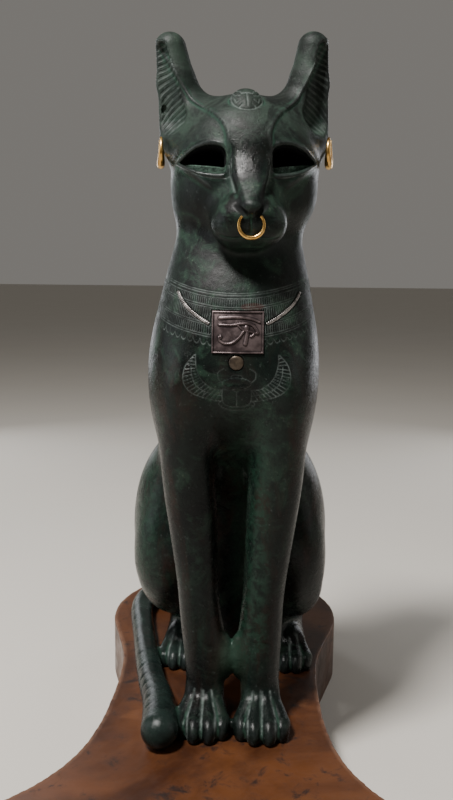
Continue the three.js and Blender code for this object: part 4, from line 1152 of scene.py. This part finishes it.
def signRelief(u, v):
    # height over the sunk ground of the plaque, and how dark the grime lies
    sunk, rim = eyeSign["sunk"], eyeSign["rim"]
    edge = np.minimum(plaque["wide"] / 2 - np.abs(u), plaque["high"] / 2 - np.abs(v))
    rise = sunk * ramp(rim + 0.35, rim, edge)
    grime = 0.8 * bell(edge - rim - 0.5, 0.35)
    raised = []
    for points, r0, r1 in eyeSign["strokes"]:
        far, along = strokeDistance(u, v, curveThrough(points, 8 * len(points)))
        raised.append((far, r0 + (r1 - r0) * along, 0.15))
    for bu, bv, r in eyeSign["balls"]:
        raised.append((np.hypot(u - bu, v - bv), r, 0.1))
    for far, r, beside in raised:
        rise = np.maximum(rise, sunk * np.sqrt(clamp(1 - (far / r) ** 2)))
        grime = np.maximum(grime, 0.9 * bell(far - r - beside, 0.3))
    return rise - sunk - 0.3 * ramp(0.35, 0, edge), grime * (rise < 0.45 * sunk)


def makePlaque(finish):
    nu = plaque["columns"] // 1
    nv = int(nu * plaque["high"] / plaque["wide"])
    u, v = np.meshgrid(np.linspace(-0.5, 0.5, nu + 1) * plaque["wide"],
                       np.linspace(-0.5, 0.5, nv + 1) * plaque["high"], indexing="ij")
    u, v = u.ravel(), v.ravel()
    x, z = u + plaque["x"], v + plaque["z"]
    breast = breastAt(x, z)
    rise, grime = signRelief(u, v)
    front = np.stack([x, breast - plaque["proud"] - rise, z], 1)
    index = np.arange((nu + 1) * (nv + 1)).reshape(nu + 1, nv + 1)
    quads = np.stack([index[:-1, :-1], index[1:, :-1], index[1:, 1:], index[:-1, 1:]], -1)
    faces = [tuple(q) for q in quads.reshape(-1, 4).tolist()]
    # the sides run back from the rim, and the back is a fan round its middle
    rim = np.concatenate([index[:-1, 0], index[-1, :-1], index[:0:-1, -1], index[0, :0:-1]])
    back = np.stack([x[rim], breast[rim] + plaque["deep"], z[rim]], 1)
    start, count = len(front), len(rim)
    for i in range(count):
        j = (i + 1) % count
        faces.append((int(rim[j]), int(rim[i]), start + i, start + j))
        faces.append((start + j, start + i, start + count))
    mesh = meshOf("plaque", toPart(np.concatenate([front, back, back.mean(0)[None]])), faces)
    setNumbers(mesh, "groove", np.concatenate([grime, np.zeros(count + 1)]))
    shadeSmooth(mesh, 50)
    newPiece("plaque", mesh, finish, "breast_plaque")


def makeDisc(finish):
    x, z, sides = disc["x"], disc["z"], disc["sides"]
    y = float(breastAt(np.array([x]), np.array([z]))[0])
    (_, crown), *rows = disc["profile"]
    turns = [2 * math.pi * i / sides for i in range(sides)]
    points = [(x, y + crown, z)]
    points += [(x + r * math.cos(a), y + depth, z + r * math.sin(a)) for r, depth in rows for a in turns]
    faces = [(0, 1 + i, 1 + (i + 1) % sides) for i in range(sides)]
    faces += [(a, a + sides, b + sides, b) for a, b in around(len(rows), sides, 1)]
    faces.append(tuple(1 + (len(rows) - 1) * sides + i for i in range(sides))[::-1])
    mesh = meshOf("sunDisc", toPart(points), faces)
    setNumbers(mesh, "groove", [0.0] + [0.8 if r > 4 else 0.0 for r, _ in rows for a in turns])
    shadeSmooth(mesh, 55)
    newPiece("sunDisc", mesh, finish, "sun_disc")


# Rings and cords, grown by node trees.

def newTree(name, inputs):
    tree = bpy.data.node_groups.new(name, "GeometryNodeTree")
    tree.interface.new_socket("Geometry", in_out="INPUT", socket_type="NodeSocketGeometry")
    for label, kind in inputs.items():
        tree.interface.new_socket(label, in_out="INPUT", socket_type="NodeSocket" + kind)
    tree.interface.new_socket("Geometry", in_out="OUTPUT", socket_type="NodeSocketGeometry")
    return tree, node(tree, "NodeGroupInput").outputs


def grown(tree, kind, inputs=None, **settings):
    return node(tree, "GeometryNode" + kind, inputs, **settings).outputs[0]


def combined(tree, x=0.0, y=0.0, z=0.0):
    return node(tree, "ShaderNodeCombineXYZ", {0: x, 1: y, 2: z}).outputs[0]


def closeTree(tree, geometry, finish):
    real = grown(tree, "RealizeInstances", {"Geometry": geometry})
    real = grown(tree, "SetMaterial", {"Geometry": real, "Material": finish})
    node(tree, "NodeGroupOutput", {0: real})


def grow(name, mesh, tree, values, solid):
    # runs the tree on the mesh and keeps the result as a plain mesh
    piece = bpy.data.objects.new(name, mesh)
    bpy.context.scene.collection.objects.link(piece)
    modifier = piece.modifiers.new("tree", "NODES")
    modifier.node_group = tree
    names = {s.name: s.identifier for s in tree.interface.items_tree if s.in_out == "INPUT"}
    for label, value in values.items():
        modifier[names[label]] = value
    graph = bpy.context.evaluated_depsgraph_get()
    result = bpy.data.meshes.new_from_object(piece.evaluated_get(graph), depsgraph=graph)
    piece.modifiers.clear()
    piece.data = result
    result.name = name
    setNumbers(result, "groove", np.zeros(len(result.vertices)))
    setPiece(piece, solid)
    return result


# a gap and a turn are radians, the rest millimetres
earring = {"middle": 8.2, "thin": 0.9, "thick": 2.4, "gap": 0.6}
rings = {
    "nose_ring": {"at": (7.9, 3.4, 304.7), "turn": 0.0, "middle": 6.9, "thin": 0.75, "thick": 1.2,
                  "gap": 0.84},
    "earring_left": {"at": (-48.0, 58.5, 351.6), "turn": math.pi / 2 + 0.16, **earring},
    "earring_right": {"at": (53.2, 58.5, 351.6), "turn": math.pi / 2 - 0.16, **earring},
}


def ringTree(finish):
    tree, given = newTree("openRing", {"Middle": "Float", "Thin": "Float", "Thick": "Float", "Gap": "Float",
                                       "Turn": "Float", "Steps": "Int", "Sides": "Int", "At": "Vector"})
    start = sums(tree, "ADD", given["Gap"], math.pi / 2)
    sweep = sums(tree, "MULTIPLY_ADD", given["Gap"], -2.0, 2 * math.pi)
    arc = {"Resolution": given["Steps"], "Radius": given["Middle"], "Start Angle": start, "Sweep Angle": sweep}
    arc = grown(tree, "CurveArc", arc, mode="RADIUS")
    # the wire swells towards the middle of its run
    factor = node(tree, "GeometryNodeSplineParameter").outputs["Factor"]
    wave = sums(tree, "SINE", sums(tree, "MULTIPLY", factor, math.pi))
    swell = sums(tree, "MULTIPLY", wave, wave)
    more = sums(tree, "SUBTRACT", given["Thick"], given["Thin"])
    radius = sums(tree, "MULTIPLY_ADD", more, swell, given["Thin"])
    arc = grown(tree, "SetCurveRadius", {"Curve": arc, "Radius": radius})
    profile = grown(tree, "CurvePrimitiveCircle", {"Resolution": given["Sides"], "Radius": 1.0})
    wire = node(tree, "GeometryNodeCurveToMesh", {"Curve": arc, "Profile Curve": profile, "Fill Caps": True})
    if "Scale" in wire.inputs:
        tree.links.new(radius, wire.inputs["Scale"])
    upright = grown(tree, "Transform", {"Geometry": wire.outputs[0], "Rotation": (math.pi / 2, 0, 0)})
    spin = combined(tree, z=given["Turn"])
    turned = grown(tree, "Transform", {"Geometry": upright, "Rotation": spin, "Translation": given["At"]})
    closeTree(tree, grown(tree, "SetShadeSmooth", {"Geometry": turned}), finish)
    return tree


def makeRings(finish):
    tree = ringTree(finish)
    for name, ring in rings.items():
        size = {side.title(): ring[side] * mm for side in ("middle", "thin", "thick")}
        size.update({"Gap": ring["gap"], "Turn": ring["turn"], "Steps": 72, "Sides": 20,
                     "At": tuple(toPart(ring["at"]))})
        grow(name + "Wire", bpy.data.meshes.new(name), tree, size, name)


def cordTree(finish):
    tree, given = newTree("beadedCord", {"Beads": "Int", "Long": "Float", "Wide": "Float", "Proud": "Float",
                                         "Slant": "Float"})
    path = grown(tree, "MeshToCurve", {"Mesh": given["Geometry"]})
    path = grown(tree, "ResampleCurve", {"Curve": path, "Count": given["Beads"]})
    ball = grown(tree, "MeshUVSphere", {"Segments": 10, "Rings": 6, "Radius": 0.5})
    size = combined(tree, given["Long"], given["Wide"], given["Proud"])
    # each bead lies along the cord with its flat side on the breast, and a little aslant
    align = "FunctionNodeAlignRotationToVector"
    outward = grown(tree, "InputNamedAttribute", {"Name": "outward"}, data_type="FLOAT_VECTOR")
    facing = node(tree, align, {"Vector": outward}, axis="Z").outputs[0]
    along = {"Rotation": facing, "Vector": grown(tree, "InputTangent")}
    facing = node(tree, align, along, axis="X", pivot_axis="Z").outputs[0]
    aslant = {"Rotation": facing, "Rotate By": combined(tree, z=given["Slant"])}
    facing = node(tree, "FunctionNodeRotateRotation", aslant, rotation_space="LOCAL").outputs[0]
    beads = {"Points": path, "Instance": ball, "Rotation": facing, "Scale": size}
    closeTree(tree, grown(tree, "InstanceOnPoints", beads), finish)
    return tree


def makeCords(finish):
    tree = cordTree(finish)
    for name, side in (("cord_left", -1), ("cord_right", 1)):
        x, z = curveThrough(cord["path"], cord["steps"]).T
        x = plaque["x"] + side * x
        y = breastAt(x, z)
        _, slope, _ = slopeOf(np.array([x, y, z]))
        outward = (slope / np.sqrt((slope ** 2).sum(0))).T
        mesh = bpy.data.meshes.new(name)
        edges = [(i, i + 1) for i in range(cord["steps"])]
        mesh.from_pydata(toPart(np.stack([x, y, z], 1)).tolist(), edges, [])
        layer = mesh.attributes.new("outward", "FLOAT_VECTOR", "POINT")
        layer.data.foreach_set("vector", outward.astype(np.float32).ravel())
        size = {"Beads": cord["beads"], "Long": cord["long"] * mm, "Wide": cord["wide"] * mm,
                "Proud": cord["high"] * mm, "Slant": side * cord["slant"]}
        shadeSmooth(grow(name + "Strand", mesh, tree, size, name))


# the plinth's plan: the concave flare from its front corners, the waist, then the swell to its round end
plinth = {
    "high": 45.0,
    "ease": 1.0,
    "easeSteps": 6,
    "middle": 95.5,
    "levels": [0.0, 0.4, 12, 24, 36, 42.5],
    "foot": 0.4,            # the lowest row draws in
    "top": 3.2,             # and so does the highest
    "flare": [(0, 1), (0.19, 0.78), (0.3, 0.536), (0.41, 0.336), (0.566, 0.155), (0.765, 0.045), (1, 0)],
    "swell": [(0, 0), (0.283, 0.159), (0.566, 0.545), (0.83, 0.927), (1, 1)],
    "horn": {"y": -86, "half": 124, "bow": 10},
    "waist": {"from": 50, "to": 90, "half": 69},
    "round": {"y": 196, "r": 91},
    "sideSteps": 150,
    "roundSteps": 48,
    "frontSteps": 40,
    "clear": 5.5,           # from the sharp corner to the next point
}


def between(a, b, t):
    return a + (b - a) * t


def plinthOutline():
    horn, waist, end = plinth["horn"], plinth["waist"], plinth["round"]
    half = [(between(waist["half"], horn["half"], w), between(horn["y"], waist["from"], t))
            for t, w in plinth["flare"]]
    half += [(between(waist["half"], end["r"], w), between(waist["to"], end["y"], t))
             for t, w in plinth["swell"]]
    side = [tuple(p) for p in curveThrough(half, plinth["sideSteps"])]
    # no points crowd the sharp corner, so that rows drawn in from it stay clear of themselves
    side = side[:1] + [p for p in side if math.dist(p, side[0]) > plinth["clear"]]
    n, m = plinth["roundSteps"], plinth["frontSteps"]
    side += [(end["r"] * math.cos(a), end["y"] + end["r"] * math.sin(a))
             for a in (math.pi / 2 * (i + 1) / n for i in range(n))]
    outline = side + [(-x, y) for x, y in side[-2::-1]]
    outline += [(horn["half"] * (2 * i / m - 1), horn["y"] - horn["bow"] * math.sin(math.pi * i / m))
                for i in range(1, m)]
    return np.array(outline)


def makePlinth(finish):
    outline = plinthOutline()
    count = len(outline)
    along = np.roll(outline, -1, 0) - outline
    after = np.stack([-along[:, 1], along[:, 0]], 1) / np.linalg.norm(along, axis=1)[:, None]
    before = np.roll(after, 1, 0)
    inward = (before + after) / (1 + (before * after).sum(1))[:, None]
    # hand worn: the eased edge wanders a little
    t = np.arange(count)
    wander = 0.35 * np.sin(t * 0.61) * np.sin(t * 0.173 + 1) + 0.25 * np.sin(t * 1.7 + 2)
    ease = plinth["ease"] * (1 + wander)
    # each row: how far it draws in, its height and how worn it is
    rows = [(0, z, 0.5 if z < 1 else 0.0) for z in plinth["levels"]]
    rows[0] = (plinth["foot"], *rows[0][1:])
    for i in range(plinth["easeSteps"] + 1):
        a = math.pi / 2 * i / plinth["easeSteps"]
        rows.append(((ease * (1 - math.cos(a)))[:, None], plinth["high"] - ease * (1 - math.sin(a)), 1.0))
    rows.append((plinth["top"], plinth["high"], 0.0))
    points = []
    for drawn, z, _ in rows:
        x, y = (outline + inward * drawn).T
        points.append(np.stack([x, y - plinth["middle"], np.full(count, z)], 1))
    faces = [(a, b, b + count, a + count) for a, b in around(len(rows), count)]
    last = (len(rows) - 1) * count
    faces.append(tuple(range(last, last + count)))
    faces.append(tuple(range(count))[::-1])
    mesh = meshOf("plinth", np.concatenate(points) * mm, faces)
    setNumbers(mesh, "edge", np.repeat([worn for _, _, worn in rows], count))
    shadeSmooth(mesh, 40)
    newPiece("plinthBlock", mesh, finish, "plinth")


# Camera and studio, the lights in metres and watts.

view = {"yaw": 0.03828, "pitch": 0.15167, "roll": 0.01003, "at": (12.27, -439.59, 276.30), "lens": 36}
aim = (0, -0.03, 0.26)
lights = {
    # place, size, power, colour
    "key": ((-0.42, -0.62, 1.4), (0.24, 0.24), 44, (1, 0.975, 0.95)),
    "fill": ((-1.25, -0.1, 0.6), (0.7, 0.9), 4.5, (0.93, 0.97, 1)),
    "sideFill": ((1.25, -0.15, 0.6), (0.7, 0.9), 2, (1, 0.97, 0.93)),
    "rimLeft": ((-0.6, 0.95, 0.55), (0.3, 0.8), 2.6, (0.94, 0.96, 1)),
    "rimRight": ((0.66, 0.95, 0.5), (0.3, 0.8), 3, (0.94, 0.96, 1)),
}
paper = {"dark": (0.5, 0.47, 0.425), "light": (0.54, 0.51, 0.46), "half": 30}
air = {"colour": (0.86, 0.82, 0.76, 1), "strength": 0.22}


def setCamera():
    yaw, pitch, roll = view["yaw"], view["pitch"], view["roll"]
    ahead = Vector((-math.sin(yaw) * math.cos(pitch), math.cos(yaw) * math.cos(pitch), -math.sin(pitch)))
    across = Vector((math.cos(yaw), math.sin(yaw), 0))
    up = across.cross(ahead)
    right = across * math.cos(roll) + up * math.sin(roll)
    up = up * math.cos(roll) - across * math.sin(roll)
    lens = bpy.data.cameras.new("camera")
    lens.lens = view["lens"]
    lens.sensor_width = 36
    lens.clip_start = 0.01
    camera = bpy.data.objects.new("camera", lens)
    at = toPart(view["at"])
    camera.matrix_world = Matrix(((right.x, up.x, -ahead.x, at[0]), (right.y, up.y, -ahead.y, at[1]),
                                  (right.z, up.z, -ahead.z, at[2]), (0, 0, 0, 1)))
    bpy.context.scene.collection.objects.link(camera)
    bpy.context.scene.camera = camera


def addLight(name, at, size, power, colour):
    lamp = bpy.data.lights.new(name, "AREA")
    lamp.shape = "RECTANGLE"
    lamp.size, lamp.size_y = size
    lamp.energy = power
    lamp.color = colour
    light = bpy.data.objects.new(name, lamp)
    light.location = at
    light.rotation_euler = (Vector(aim) - Vector(at)).to_track_quat("-Z", "Y").to_euler()
    bpy.context.scene.collection.objects.link(light)


def setStudio():
    f = Finish("paper")
    f.connect(Base_Color=f.tint(f.noise(3, 3, 0.5), paper["dark"], paper["light"]), Roughness=0.85)
    d = paper["half"]
    mesh = bpy.data.meshes.new("floor")
    mesh.from_pydata([(-d, -d, 0), (d, -d, 0), (d, d, 0), (-d, d, 0)], [], [(0, 1, 2, 3)])
    mesh.materials.append(f.material)
    floor = bpy.data.objects.new("floor", mesh)
    bpy.context.scene.collection.objects.link(floor)
    world = bpy.data.worlds.new("studio")
    world.use_nodes = True
    back = world.node_tree.nodes["Background"]
    back.inputs[0].default_value = air["colour"]
    back.inputs[1].default_value = air["strength"]
    bpy.context.scene.world = world
    for name, light in lights.items():
        addLight(name, *light)


bronze = bronzePatina()
gold, tarnish, silver, copper = (workedMetal(name) for name in metals)
print("finishes made")
castBody(bronze)
makePlaque(tarnish)
makeDisc(copper)
print("plaque and disc made")
makeRings(gold)
makeCords(silver)
print("rings and cords made")
makePlinth(plinthFinish())
print("plinth made")
setCamera()
setStudio()
print("studio set")
